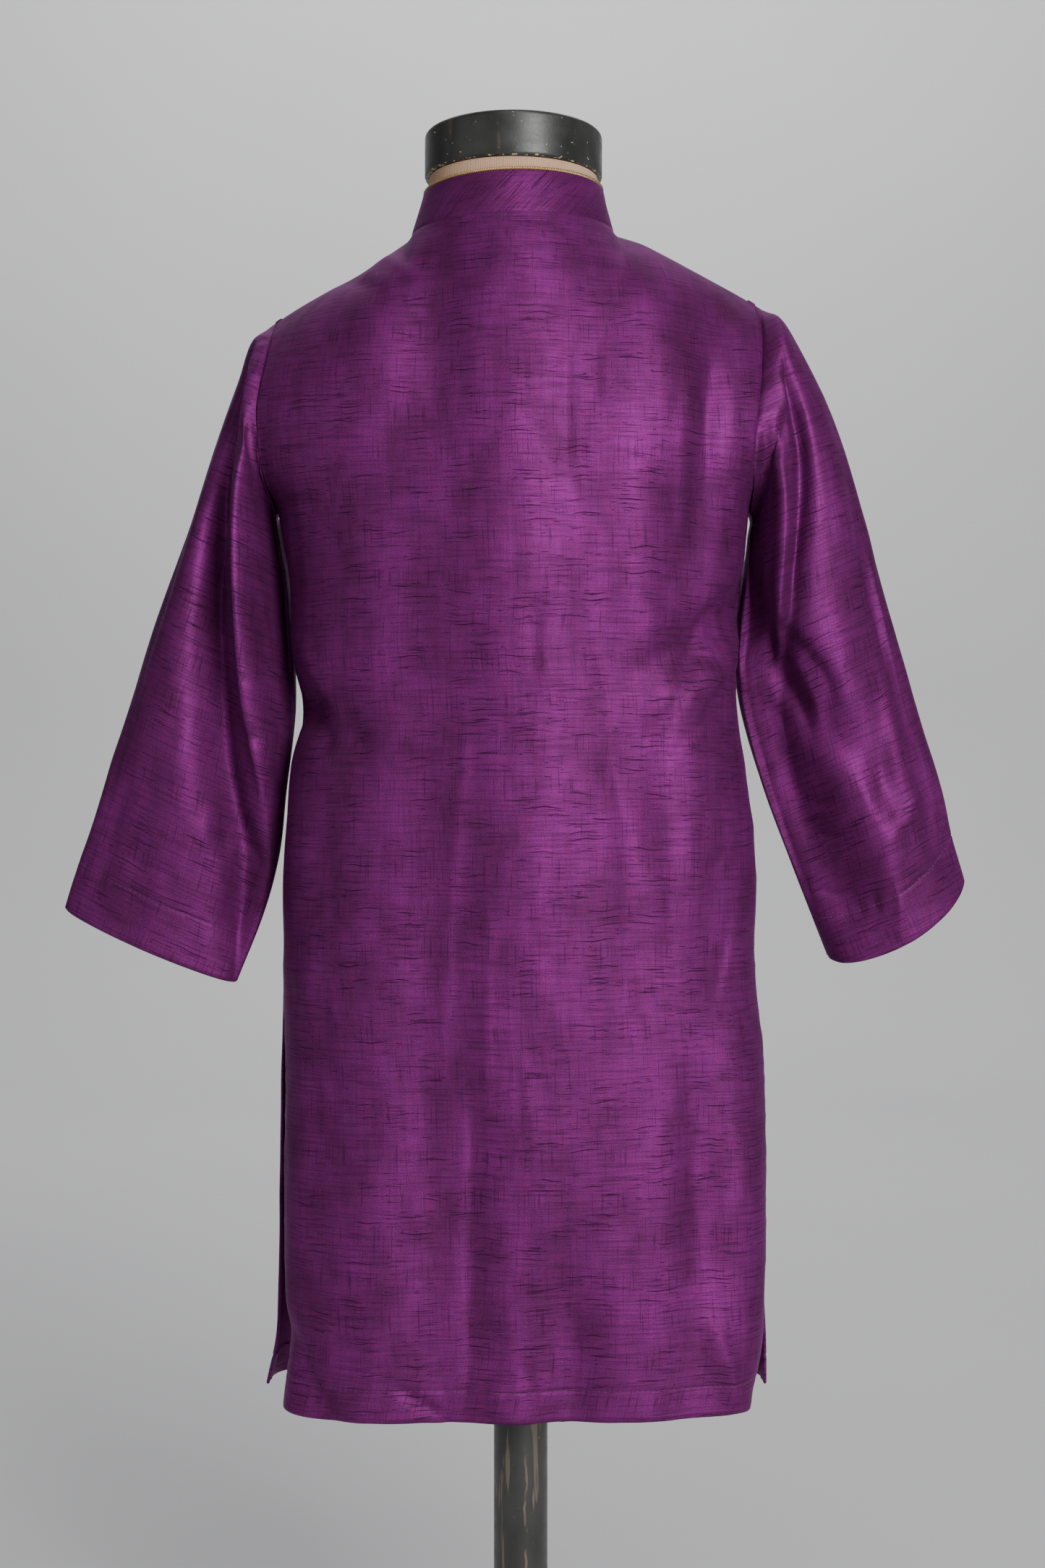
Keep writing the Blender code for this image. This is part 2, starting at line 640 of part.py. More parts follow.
def shell_mesh(name, outer, inner, outward_left, closed=False, keep=None):
    """A closed wall between an outer and an inner grid, with a rim round each edge and opening."""
    rows, columns = outer.shape[:2]
    faces = []
    for j in range(rows - 1):
        for i in range(columns if closed else columns - 1):
            if keep is None or keep[j, i]:
                n = (i + 1) % columns
                face = [(j, i), (j, n), (j + 1, n), (j + 1, i)]
                faces.append(face if outward_left else face[::-1])
    edges = {(f[k - 1], f[k]) for f in faces for k in range(4)}
    mesh = bmesh.new()
    used = sorted({place for face in faces for place in face})
    outside = {place: mesh.verts.new(outer[place]) for place in used}
    inside = {place: mesh.verts.new(inner[place]) for place in used}
    for face in faces:
        mesh.faces.new([outside[place] for place in face])
        mesh.faces.new([inside[place] for place in reversed(face)])
    for a, b in sorted(edges):
        if (b, a) not in edges:
            mesh.faces.new([outside[b], outside[a], inside[a], inside[b]])
    data = bpy.data.meshes.new(name)
    mesh.to_mesh(data)
    mesh.free()
    data.shade_smooth()
    data.set_sharp_from_angle(angle=math.radians(SHARP_DEG))
    return data


def cloth_piece(collection, name, points, facing, material, wall=CLOTH, **how):
    """A piece of cloth: its outer points, and as many more a wall's thickness inside them."""
    outer = lift(points)
    data = shell_mesh(name, outer, outer - facing * wall, **how)
    return add_object(collection, name, data, material)


def turned(collection, name, profile, material, segments):
    """A turned solid from a profile of (radius, height), from its foot up its outer side."""
    mesh = bmesh.new()
    verts = [mesh.verts.new((r, 0.0, z)) for r, z in reversed(profile)]
    for a, b in zip(verts, verts[1:]):
        mesh.edges.new((a, b))
    data = bpy.data.meshes.new(name)
    mesh.to_mesh(data)
    mesh.free()
    obj = add_object(collection, name, data, material)
    screw = obj.modifiers.new("turn", "SCREW")
    screw.steps = screw.render_steps = segments
    screw.use_merge_vertices = True
    screw.merge_threshold = MERGE
    screw.use_smooth_shade = True
    return obj


def rounded(radius, height, corner, steps=4):
    """The rounded upper outer corner of a turned profile."""
    angles = [k / steps * math.pi / 2 for k in range(steps + 1)]
    return [
        (radius - corner + corner * math.cos(a), height - corner + corner * math.sin(a))
        for a in angles
    ]


def panel_shares():
    """Columns of a panel, with one on each edge of the placket."""
    inner = placket_share()
    angles = np.linspace(math.asin(inner / NECK_SHARE), math.pi / 2, NECK_COLUMNS)
    neck = NECK_SHARE * np.sin(angles)
    shoulder = np.linspace(NECK_SHARE, 1, SHOULDER_COLUMNS + 1)[1:]
    half = np.concatenate([neck, shoulder])
    return np.concatenate([-half[::-1], [0.0], half])


def placket_share():
    return PLACKET_HALF_WIDTH / CHEST_HALF_LENGTH


def yoke_shares():
    return np.sin(np.arange(1, YOKE_ROWS + 1) / YOKE_ROWS * math.pi / 2)


def skirt_ups():
    return np.linspace(0, ARMPIT_UP, SKIRT_ROWS + 1)


def make_panels(collection, silk):
    shares = panel_shares()
    inner = np.abs(shares[:-1] + shares[1:]) / 2 < placket_share()
    for side in ("back", "front"):
        grid, facing = panel_points(side, shares, skirt_ups(), yoke_shares())
        keep = np.ones((grid.shape[0] - 1, grid.shape[1] - 1), bool)
        if side == "front":
            middle = grid[:-1, grid.shape[1] // 2, 2]
            keep[np.ix_(middle > PLACKET_BOTTOM_UP, inner)] = False
        cloth_piece(
            collection, side + "_panel", grid, facing, silk, outward_left=side == "back", keep=keep
        )


def placket_rows():
    """Which rows of the panel the placket spans, as heights and shares of the yoke."""
    ups = [up for up in skirt_ups() if up > PLACKET_BOTTOM_UP]
    return np.array(ups), np.append(yoke_shares()[:-1], STRIP_END_SHARE)


def make_placket(collection, silk):
    """The under strip fills the opening, and the upper strip lies over it."""
    edge = placket_share()
    ups, yokes = placket_rows()
    reach = edge - PLACKET_UNDER_GAP / CHEST_HALF_LENGTH
    under = np.linspace(-reach, reach, 3)
    first = ups[0]
    grid, facing = panel_points("front", under, np.append(first + SEAM_GAP, ups[1:]), yokes)
    cloth_piece(collection, "placket_under", grid, facing, silk, outward_left=False)
    over = np.linspace(-edge - PLACKET_OVERLAP, edge + PLACKET_OVERLAP, 5)
    rows = np.concatenate([[first - PLACKET_TAIL], ups])
    grid, facing = panel_points("front", over, rows, yokes)
    grid = grid + facing * (CLOTH + SEAM_GAP)
    cloth_piece(collection, "placket_upper", grid, facing, silk, outward_left=False)


def button_places():
    """Where each button sits on the placket, and the way it faces."""
    ups = np.linspace(PLACKET_BOTTOM_UP + LOW_BUTTON_RISE, TOP_BUTTON_UP, BUTTON_COUNT)
    shares = np.linspace(-placket_share(), placket_share(), 3)
    below = np.linspace(PLACKET_BOTTOM_UP, ARMPIT_UP, BUTTON_ROWS // 6)
    above = np.sin(np.linspace(0.02, 1, BUTTON_ROWS) * math.pi / 2)
    grid, outward = panel_points("front", shares, below, above)
    column, facing = grid[:, 1], outward[:, 1]
    for up in ups:
        k = int(np.abs(column[:, 2] - up).argmin())
        yield column[k] + facing[k] * (CLOTH + BUTTON_STANDS), facing[k]


def make_buttons(collection, material):
    for k, (place, facing) in enumerate(button_places()):
        profile = [(0.0, 0.0), (BUTTON_RADIUS, 0.0)]
        profile += rounded(BUTTON_RADIUS, BUTTON_THICK, BUTTON_EDGE, 2)
        dish = BUTTON_THICK * DISH_LEVEL
        profile += [(BUTTON_RADIUS * DISH_SHARE, dish), (0.0, dish)]
        obj = turned(collection, f"button_{k + 1}", profile, material, BUTTON_SIDES)
        tilt = math.atan2(facing[2], facing[1])
        obj.rotation_euler = (-math.pi / 2 + tilt, 0.0, 0.0)
        obj.location = lift(place)


def make_sleeves(collection, silk):
    behind = np.linspace(0, 0.5, SLEEVE_BACK_COLUMNS + 1)
    before = np.linspace(0.5, 1, SLEEVE_FRONT_COLUMNS + 1)
    turns = np.concatenate([behind, before[1:-1]])
    alongs = np.linspace(0, 1, SLEEVE_ROWS + 1)
    for hand in ("left", "right"):
        grid, facing = sleeve_points(hand, turns, alongs)
        left = hand == "right"
        cloth_piece(
            collection, "sleeve_" + hand, grid, facing, silk, outward_left=left, closed=True
        )


def collar_angles():
    """Angles round the collar, from one front end to the other by the back.

    They are those of the panels' columns, so the seam's two edges run side by side.
    """
    shares = panel_shares()
    neck = shares[np.abs(shares) <= NECK_SHARE + 1e-9]
    back = np.arcsin(np.clip(neck / NECK_SHARE, -1, 1))
    front = (math.pi - back[(neck > 0.001) & (neck < NECK_SHARE - 0.001)])[::-1]
    end = math.pi - math.radians(COLLAR_OPENING_DEG)
    front = np.concatenate([front, [end]])
    return np.concatenate([-front[::-1], back, front])


def make_collar(collection, silk, gold):
    grid, facing = collar_points(collar_angles(), np.linspace(0, 1, COLLAR_ROWS + 1))
    cloth_piece(collection, "collar", grid, facing, silk, COLLAR_WALL, outward_left=True)
    line = lift(grid[-1] - facing[-1] * COLLAR_WALL / 2)
    line[:, 2] += SEAM_GAP + PIPING_RADIUS
    curve = bpy.data.curves.new("collar_piping", "CURVE")
    curve.dimensions = "3D"
    curve.bevel_depth = PIPING_RADIUS
    curve.bevel_resolution = 1
    curve.use_fill_caps = True
    spline = curve.splines.new("POLY")
    spline.points.add(len(line) - 1)
    for point, place in zip(spline.points, line):
        point.co = (*place, 1.0)
    add_object(collection, "collar_piping", curve, gold)


def inset_grid(side, shares, ups, yokes):
    """The cloth's plain points moved in, for the dress form."""
    sign = -1 if side == "back" else 1
    grid = panel_grid(side, shares, ups, yokes)
    facing = panel_normals(side, shares, grid, len(ups), yokes)
    for k, up in enumerate(ups):
        inset = float(read(TORSO_INSET, "up", "inset", up))
        grid[k, :, 0], grid[k, :, 1] = arc(
            float(read(SIDES, "up", "front_left", up)) + inset,
            float(read(SIDES, "up", "front_right", up)) - inset,
            0.0,
            float(read(SIDES, "up", side, up)) - sign * inset,
            FORM_BOXY,
            shares,
        )
    inset = read(YOKE_INSET, "share", "inset", yokes)
    # The form is smoother than the cloth, so it is moved in by the mean of what faces nearby.
    even = facing.copy()
    for _ in range(2):
        even[:, 1:-1] = (even[:, :-2] + 2 * even[:, 1:-1] + even[:, 2:]) / 4
    facing[:-1] = even[:-1] / length_of(even[:-1])
    grid[len(ups) :] -= facing[len(ups) :] * inset[:, None, None]
    shoulder = np.abs(shares) > NECK_SHARE - 1e-9
    grid[-1, shoulder, 1] -= sign * SEAM_GAP / 2
    # Below the ridge of the shoulder, the back stays behind it and the front before it.
    ridge = grid[-1, :, 1] + sign * RIDGE_HALF_WIDTH
    beyond = np.maximum(grid[:-1, :, 1] * sign, ridge * sign) * sign
    grid[:-1, shoulder, 1] = beyond[:, shoulder]
    return grid


def neck_rings(ring):
    """The form's neck, from the ring where it leaves the shoulders up through the collar."""
    angles = np.arctan2(ring[:, 0] - NECK_MID_X, -ring[:, 1])
    seam = neck_seam(angles)
    inward = np.stack([-np.sin(angles), np.cos(angles), 0 * angles], axis=-1)
    low = seam + inward * (COLLAR_WALL + 4 * NECK_INSIDE_COLLAR)
    low[:, 2] += 2 * NECK_INSIDE_COLLAR
    rings = [ring, low]
    for up, drop in ((COLLAR_TOP_UP, COLLAR_FRONT_DROP), (NECK_TOP_UP, 0.0)):
        rings.append(
            neck_ring(angles, NECK_RADIUS, NECK_RADIUS, NECK_RADIUS, up, drop, FORM_MID_X)
        )
    rings[-1][:, 2] = NECK_TOP_UP
    return np.array(rings)


def ring_faces(mesh, grid):
    """Faces between closed rings, in a mesh being built."""
    verts = [[mesh.verts.new(p) for p in row] for row in grid]
    count = len(verts[0])
    for low, high in zip(verts, verts[1:]):
        for i in range(count):
            n = (i + 1) % count
            mesh.faces.new([low[i], low[n], high[n], high[i]])


def make_form(collection, cutters, jersey):
    """The torso and neck in one closed piece, with a socket for the pole in its flat underside."""
    shares = panel_shares()
    ups = TORSO_INSET["up"]
    back = inset_grid("back", shares, ups, yoke_shares())
    front = inset_grid("front", shares, ups, yoke_shares())
    ridge = np.abs(shares) > NECK_SHARE - 1e-9
    back[-1, ridge] = front[-1, ridge] = (back[-1, ridge] + front[-1, ridge]) / 2
    grid = np.concatenate([back, front[:, ::-1]], axis=1)
    neck = np.abs(shares) < NECK_SHARE + 1e-9
    ring = np.concatenate([back[-1, neck], front[-1, neck][::-1][1:-1]])
    mesh = bmesh.new()
    ring_faces(mesh, lift(grid))
    ring_faces(mesh, lift(neck_rings(ring)))
    bmesh.ops.remove_doubles(mesh, verts=mesh.verts, dist=MERGE)
    bmesh.ops.holes_fill(mesh, edges=[e for e in mesh.edges if e.is_boundary])
    bmesh.ops.recalc_face_normals(mesh, faces=mesh.faces)
    data = bpy.data.meshes.new("form_body")
    mesh.to_mesh(data)
    mesh.free()
    data.shade_smooth()
    body = add_object(collection, "form_body", data, jersey)
    cut = bpy.data.meshes.new("socket_cutter")
    mesh = bmesh.new()
    bmesh.ops.create_cone(
        mesh,
        cap_ends=True,
        segments=POLE_SIDES,
        radius1=POLE_RADIUS + CLEARANCE,
        radius2=POLE_RADIUS + CLEARANCE,
        depth=2 * SOCKET_DEPTH,
    )
    mesh.to_mesh(cut)
    mesh.free()
    cutter = bpy.data.objects.new("socket_cutter", cut)
    cutters.objects.link(cutter)
    cutter.location = (0.0, 0.0, form_foot())
    cutter.hide_render = True
    cutter.display_type = "WIRE"
    socket = body.modifiers.new("socket", "BOOLEAN")
    socket.operation = "DIFFERENCE"
    socket.object = cutter


def form_foot():
    """Height of the form's flat underside above the floor."""
    return HEM_HEIGHT + TORSO_INSET["up"][0]


def make_stand(collection, black):
    """The neck cap, the pole and the base."""
    cap = turned(
        collection,
        "neck_cap",
        [(0.0, 0.0), (NECK_CAP_RADIUS - CAP_EDGE, 0.0), (NECK_CAP_RADIUS, CAP_EDGE)]
        + rounded(NECK_CAP_RADIUS, NECK_CAP_HEIGHT, CAP_ROUND)
        + [(0.0, NECK_CAP_HEIGHT + CAP_CROWN)],
        black,
        CAP_SIDES,
    )
    cap.location = (FORM_MID_X, 0.0, HEM_HEIGHT + NECK_TOP_UP + CLEARANCE)
    socket_floor = HUB_HEIGHT - SOCKET_DEPTH
    bottom = socket_floor + CLEARANCE
    top = form_foot() + SOCKET_DEPTH - CLEARANCE
    pole = turned(
        collection,
        "pole",
        [(0.0, 0.0), (POLE_RADIUS, 0.0), (POLE_RADIUS, top - bottom), (0.0, top - bottom)],
        black,
        POLE_SIDES,
    )
    pole.location = (0.0, 0.0, bottom)
    hole = POLE_RADIUS + CLEARANCE
    turned(
        collection,
        "base",
        [(0.0, 0.0), (BASE_RADIUS - BASE_EDGE, 0.0), (BASE_RADIUS, BASE_EDGE)]
        + rounded(BASE_RADIUS, BASE_THICK, BASE_ROUND)
        + [(HUB_RADIUS + beyond, BASE_THICK + above) for beyond, above in HUB_FLARE]
        + rounded(HUB_RADIUS, HUB_HEIGHT, HUB_ROUND, 3)
        + [(hole, HUB_HEIGHT), (hole, socket_floor), (0.0, socket_floor)],
        black,
        BASE_SIDES,
    )


def main():
    clear_scene()
    kurta = bpy.data.collections.new("kurta_on_dress_form")
    cutters = bpy.data.collections.new("cutters")
    for collection in (kurta, cutters):
        bpy.context.scene.collection.children.link(collection)
    materials = {name: make_material(name) for name in COLOURS}
    make_panels(kurta, materials["silk"])
    make_placket(kurta, materials["silk"])
    make_buttons(kurta, materials["button"])
    make_sleeves(kurta, materials["silk"])
    make_collar(kurta, materials["silk"], materials["gold"])
    make_form(kurta, cutters, materials["jersey"])
    make_stand(kurta, materials["black"])


main()
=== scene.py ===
"""The looks of a child's raw silk kurta tunic on a dress form.

Metres, +Z up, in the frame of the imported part. -Y is the back of the kurta, which the photograph
shows, and +Y its front. Heights in the tables are measured up from the hem.
"""

import math

import bmesh
import bpy
import numpy as np
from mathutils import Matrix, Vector


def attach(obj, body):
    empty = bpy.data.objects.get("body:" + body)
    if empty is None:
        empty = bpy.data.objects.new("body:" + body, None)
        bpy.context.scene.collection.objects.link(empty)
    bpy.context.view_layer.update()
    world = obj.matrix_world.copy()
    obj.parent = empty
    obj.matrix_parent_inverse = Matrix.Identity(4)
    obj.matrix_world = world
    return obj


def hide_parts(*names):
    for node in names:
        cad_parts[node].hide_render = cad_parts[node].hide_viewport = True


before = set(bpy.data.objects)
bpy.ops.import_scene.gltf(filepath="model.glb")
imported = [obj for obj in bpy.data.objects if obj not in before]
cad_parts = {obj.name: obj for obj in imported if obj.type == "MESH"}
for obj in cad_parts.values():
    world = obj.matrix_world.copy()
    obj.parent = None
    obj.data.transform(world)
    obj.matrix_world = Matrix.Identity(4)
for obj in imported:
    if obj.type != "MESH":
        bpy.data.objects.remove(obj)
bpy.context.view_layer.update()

# Driving sizes.
HEM_HEIGHT = 0.290  # floor to hem
ARMPIT_UP = 0.535  # hem to armpit
SLIT_UP = 0.274  # hem to the top of each side slit
CLOTH = 0.0012  # wall of the silk
COLLAR_WALL = 0.0020  # two layers with interfacing
PIPING_RADIUS = 0.0011

NECK_MID_X = -0.0050
NECK_SEAM_RADIUS = 0.0618
NECK_FRONT_RADIUS = 0.0650
NECK_SEAM_UP = 0.7005
NECK_FRONT_DROP = 0.030
NECK_SHARE = 0.36  # share of the half panel that ends at the neck
CHEST_HALF_LENGTH = 0.172  # along the cloth, from the middle to the side seam
COLLAR_TOP_RADIUS = 0.0548
COLLAR_TOP_UP = 0.7262
COLLAR_FRONT_DROP = 0.026
COLLAR_OPENING_DEG = 4.0  # half the gap between the collar's front ends
SHOULDER_SEAM_Y = 0.0040
NECK_LEAN = 0.0015  # how much higher the neck stands at the wearer's right
NECK_DROP_POWER = 1.6  # how late the neck falls towards its front

PLACKET_HALF_WIDTH = 0.0130
PLACKET_BOTTOM_UP = 0.520
PLACKET_OVERLAP = 0.009  # how far the upper strip laps the panel, as a share of its half width
PLACKET_TAIL = 0.012
PLACKET_UNDER_GAP = 0.00035  # between the under strip and each edge of the opening
STRIP_END_SHARE = 0.992  # the strips end just short of the collar seam
BUTTON_COUNT = 4
TOP_BUTTON_UP = 0.650
BUTTON_RADIUS = 0.0055
BUTTON_THICK = 0.0022
BUTTON_STANDS = 0.0009  # off the cloth, on its thread

POLE_RADIUS = 0.0163
NECK_CAP_RADIUS = 0.0539
NECK_CAP_HEIGHT = 0.0270
NECK_RADIUS = 0.0514
FORM_MID_X = -0.0044
NECK_INSIDE_COLLAR = 0.0005
FORM_BOXY = 2.3
RIDGE_HALF_WIDTH = 0.0015
BASE_RADIUS = 0.150
BASE_THICK = 0.014
HUB_RADIUS = 0.027
HUB_HEIGHT = 0.040
SOCKET_DEPTH = 0.030
CLEARANCE = 0.0003

# How the cloth's surface is shaped between its tables.
ARC_STEPS = 181
YOKE_STEEP_SHARE = 0.2  # beside the neck the yoke falls steeply out to here
YOKE_TURN_SHARE = 0.3  # and over this much more it comes to turn level
YOKE_LATE = 0.6
YOKE_ROUND = 0.5
NECK_SWELL_SHARE = 0.40
NECK_SWELL_POWER = 6
ARMHOLE_PULL_POWER = 3
SEAM_FADE = 0.16  # a panel's folds die away over this share of its half width
SLIT_FADE = 0.05
SLIT_FOLD = 0.6  # how much of a fold is left at a free edge
TOP_FADE = 0.25
SLEEVE_TOP_FADE = 0.10
CUFF_FADE = 0.12
FOLD_TAIL = 0.6  # how far a fold runs on past each end, as a share of its length
CREASE_TAIL = 0.35  # and a finer crease
ROUND_PEAK = 2  # the crest of a soft round fold; a lower one is sharper

# Sewing.
SLEEVE_HEM = 0.0300  # depth of the turned-up hem
BODY_HEM = 0.0180
SLIT_HEM = 0.0090
SEAM_DIP = 0.0007
SEAM_PUCKER = 0.0004
HEM_GROOVE = 0.0006
HEM_PUCKER = 0.0004
STITCH_PITCH = 0.0032
STITCH_LENGTH = 0.0023
THREAD_RADIUS = 0.00014
STITCH_STEPS = np.array([0.0, 0.15, 0.5, 0.85, 1.0])  # shares of a stitch's length
STITCH_RISE = np.array([-1.2, 0.3, 0.8, 0.3, -1.2])  # how high it lies there, in thread radii
BEND_PEAK = 1.7
SLEEVE_GRAIN = math.radians(25)  # between the warp of a sleeve and the upright
ROLL_LEAN = {"left": -0.55, "right": 0.0}  # how far a roll leans over, in shares of its height
CORD_PITCH = 0.0030
CORD_OFFSET = 0.00050
RIB_SCALE = 1 / 0.0011 / 3.14159  # a rib each 1.1 mm

# Photograph's view, and the light.
CAMERA_PLACE = (0.0011, -1.276, 0.6585)
CAMERA_LENS = 48.15
WORLD_STRENGTH = 0.11
WALL_Y = 3.9
LIGHTS = {
    "key": ((1.15, -2.30, 1.35), (0.0, 0.0, 0.66), (0.9, 1.8), 74.0),
    "top": ((0.30, -1.50, 2.80), (0.0, 0.0, 0.95), (1.2, 0.8), 12.0),
    "fill": ((-1.70, -1.60, 1.20), (0.0, 0.0, 0.60), (1.2, 1.6), 5.0),
    "wall": ((0.0, 1.9, 3.6), (0.0, 3.8, 1.0), (3.4, 0.8), 84.0),
}


def colour(red, green, blue):
    """A colour given as it is seen, 0 to 255, in the numbers that shaders take."""
    seen = np.array([red, green, blue]) / 255
    light = np.where(seen <= 0.04045, seen / 12.92, ((seen + 0.055) / 1.055) ** 2.4)
    return (*light.tolist(), 1.0)


# The silk's shaded colour and its lit colour: the broad random patches mixed between them are painted sheen and
# shade.
SILK_PAINTED_SHADE = colour(82, 32, 71)
SILK_BRIGHT = colour(119, 40, 111)
SILK_VIOLET = colour(84, 29, 92)
SILK_ROSE = colour(122, 33, 96)
SILK_DARK = colour(56, 22, 50)
SILK_SLUB = colour(30, 8, 28)
SILK_SHINE = colour(205, 110, 205)


def numbers(text):
    """Rows of words, without the lines that hold a comment."""
    return [line.split() for line in text.splitlines() if line and "#" not in line]


def table(text):
    """A dict of columns, by name, from a line of names and rows of numbers."""
    names, *rows = numbers(text)
    return dict(zip(names, np.array(rows, float).T, strict=True))


def paths(text):
    """Bent creases, parted by empty lines, each an array with a row for each knot."""
    return [np.array(numbers(block), float) for block in text.split("\n\n")]


# The body of the kurta: where the side seams run and how deep the back and front hang. Below the
# slit the back and front panels part, and ajar is how far each edge stands from the other's.
SIDES = table("""
up back_left back_right front_left front_right ajar back front boxy
0 -.1415 .1358 -.156 .1511 .015 -.066 .066 3.6
.032 -.1384 .144 -.1498 .1507 .011 -.066 .066 3.4
.066 -.1412 .146 -.1487 .149 .009 -.067 .067 3.2
.126 -.142 .1478 -.1472 .149 .007 -.069 .07 3
.209 -.1418 .1455 -.1463 .1463 .005 -.072 .073 2.9
.25 -.1434 .1424 -.1444 .143 .002 -.074 .075 2.8
.274 -.143 .1418 -.143 .1418 0 -.075 .076 2.7
.309 -.1437 .143 -.1437 .143 0 -.077 .077 2.6
.342 -.1415 .1402 -.1415 .1402 0 -.078 .077 2.6
.377 -.1388 .1358 -.1388 .1358 0 -.079 .077 2.5
.409 -.1328 .131 -.1328 .131 0 -.08 .078 2.5
.451 -.138 .13 -.138 .13 0 -.083 .08 2.4
.487 -.1392 .1338 -.1392 .1338 0 -.087 .083 2.4
.535 -.1474 .1384 -.1474 .1384 0 -.09 .085 2.3
""")

# The armholes, from the armpit, share 0, to the tip of the shoulder, share 1.
ARMHOLES = {
    "left": table("""
share back_x back_y front_x front_y up
0 -.1474 0 -.1474 0 .535
.12 -.15 -.028 -.145 .026 .543
.3 -.154 -.046 -.1425 .039 .56
.5 -.1553 -.047 -.142 .041 .588
.7 -.1522 -.036 -.144 .033 .615
.85 -.15 -.02 -.1475 .022 .635
1 -.15 .004 -.15 .004 .65
"""),
    "right": table("""
share back_x back_y front_x front_y up
0 .1384 0 .1384 0 .535
.12 .138 -.028 .1365 .026 .543
.3 .1372 -.047 .1348 .039 .56
.5 .1395 -.048 .1348 .041 .588
.7 .1428 -.036 .137 .033 .618
.85 .1442 -.02 .1408 .022 .643
1 .1434 .004 .1434 .004 .661
"""),
}

# The shoulder seams, from the tip, share 0, to the neck, share 1.
SHOULDERS = {
    "left": table("""
share x up
0 -.15 .65
.2 -.134 .659
.43 -.116 .6682
.66 -.0968 .6774
.84 -.0823 .6868
1 -.0668 .6992
"""),
    "right": table("""
share x up
0 .1434 .661
.17 .1283 .6686
.4 .109 .678
.6 .091 .6868
.8 .074 .6948
1 .0568 .702
"""),
}

# The sleeves below the armhole. Each row is a ring from its outer edge to its inner one, with its
# depth behind and in front. The hang lowers its back and raises its front, and the swell moves
# both away from the body.
SLEEVES = {
    "left": table("""
along out_x out_up in_x in_up mid_y back front hang swell boxy
.07 -.1615 .6383 -.1494 .5275 0 .046 .042 0 .006 2.2
.15 -.1703 .6136 -.1475 .515 0 .045 .042 0 .006 2.2
.28 -.188 .564 -.1432 .49 .001 .043 .041 .001 .004 2.2
.41 -.2065 .509 -.1408 .456 .002 .04 .039 .002 .002 2.1
.55 -.2279 .45 -.1384 .41 .004 .035 .034 .003 0 2
.68 -.245 .397 -.1434 .362 .006 .029 .028 .003 0 1.9
.8 -.2595 .352 -.1482 .322 .009 .023 .023 .003 0 1.9
.91 -.2725 .316 -.159 .285 .011 .019 .02 .003 0 1.8
1 -.2795 .2932 -.174 .2475 .012 .017 .019 .003 0 1.8
"""),
    "right": table("""
along out_x out_up in_x in_up mid_y back front hang swell boxy
.07 .1536 .6524 .1404 .5285 0 .047 .042 0 .005 2.2
.15 .1663 .6356 .1392 .519 .001 .047 .042 0 .005 2.2
.28 .1892 .5908 .1366 .497 .003 .046 .041 .001 .003 2.2
.41 .2083 .532 .1333 .46 .006 .042 .04 .003 .001 2.2
.55 .223 .483 .1342 .419 .01 .037 .038 .006 0 2.1
.68 .241 .4235 .1492 .3672 .016 .033 .035 .009 0 2
.8 .259 .369 .1662 .323 .023 .03 .032 .012 0 1.9
.91 .267 .337 .1772 .296 .028 .028 .03 .014 0 1.8
1 .2748 .3118 .1914 .261 .031 .026 .029 .015 0 1.8
"""),
}

# Soft folds in the panels: a line from one place to another, how wide it is to each side and how
# far it stands out, or in where that is negative.
BACK_FOLDS = table("""
x0 up0 x1 up1 left_width right_width out
-.05 .56 -.046 .33 .022 .03 -.003
.01 .62 -.004 .06 .04 .04 .0035
.046 .48 .084 .24 .018 .034 -.0045
.112 .6 .1 .5 .014 .02 -.006
.128 .47 .09 .446 .01 .01 -.005
.126 .437 .096 .42 .01 .01 .004
-.122 .412 -.1 .396 .012 .014 -.007
.112 .23 .104 .06 .02 .018 -.005
-.09 .2 -.088 0 .026 .026 .004
.028 .06 .026 0 .016 .016 -.006
-.036 .13 -.034 0 .018 .03 -.0035
""")
FRONT_FOLDS = table("""
x0 up0 x1 up1 left_width right_width out
-.06 .5 -.078 .22 .026 .022 -.004
.062 .49 .08 .24 .022 .026 -.004
.01 .48 .004 .06 .036 .036 .0035
-.112 .585 -.104 .5 .018 .014 -.005
.112 .585 .1 .5 .014 .018 -.005
-.104 .24 -.1 0 .022 .02 .0045
.096 .2 .092 0 .022 .024 .0045
-.04 .15 -.044 0 .02 .024 -.004
.044 .12 .042 0 .022 .02 -.005
""")

# Folds in the sleeves run by the share of the length and of the way round, which starts at the
# outer edge and goes by the back.
SLEEVE_FOLDS = {
    "left": table("""
along0 turn0 along1 turn1 bow near_width far_width out
.17 .172 .8 .385 .036 .034 .06 -.013
.17 .285 .6 .375 .018 .036 .03 .006
.18 .59 .42 .58 0 .045 .05 .0046
.3 .76 .7 .72 0 .05 .05 -.008
"""),
    "right": table("""
along0 turn0 along1 turn1 bow near_width far_width out
.16 .215 .42 .3 0 .022 .026 -.006
.14 .3 .42 .33 0 .028 .028 .0045
.33 .59 .44 .585 0 .045 .05 .0036
.46 .38 .64 .27 0 .034 .04 -.009
.6 .385 .86 .36 0 .06 .07 -.008
.6 .25 .82 .25 0 .04 .04 .004
.5 .11 .74 .12 0 .03 .04 -.004
.36 .72 .66 .69 0 .05 .05 -.008
"""),
}

# The dress form lies inside the cloth by these amounts: below the armpit by height, and above it
# by the share of the way to the shoulder and neck seams.
TORSO_INSET = table("""
up inset
.205 .03
.209 .025
.218 .022
.24 .02
.3 .018
.36 .018
.42 .018
.49 .014
.535 .011
""")
YOKE_INSET = table("""
share inset
0 .011
.5 .0085
.8 .006
.93 .0038
1 .002
""")
NECK_TOP_UP = 0.7352


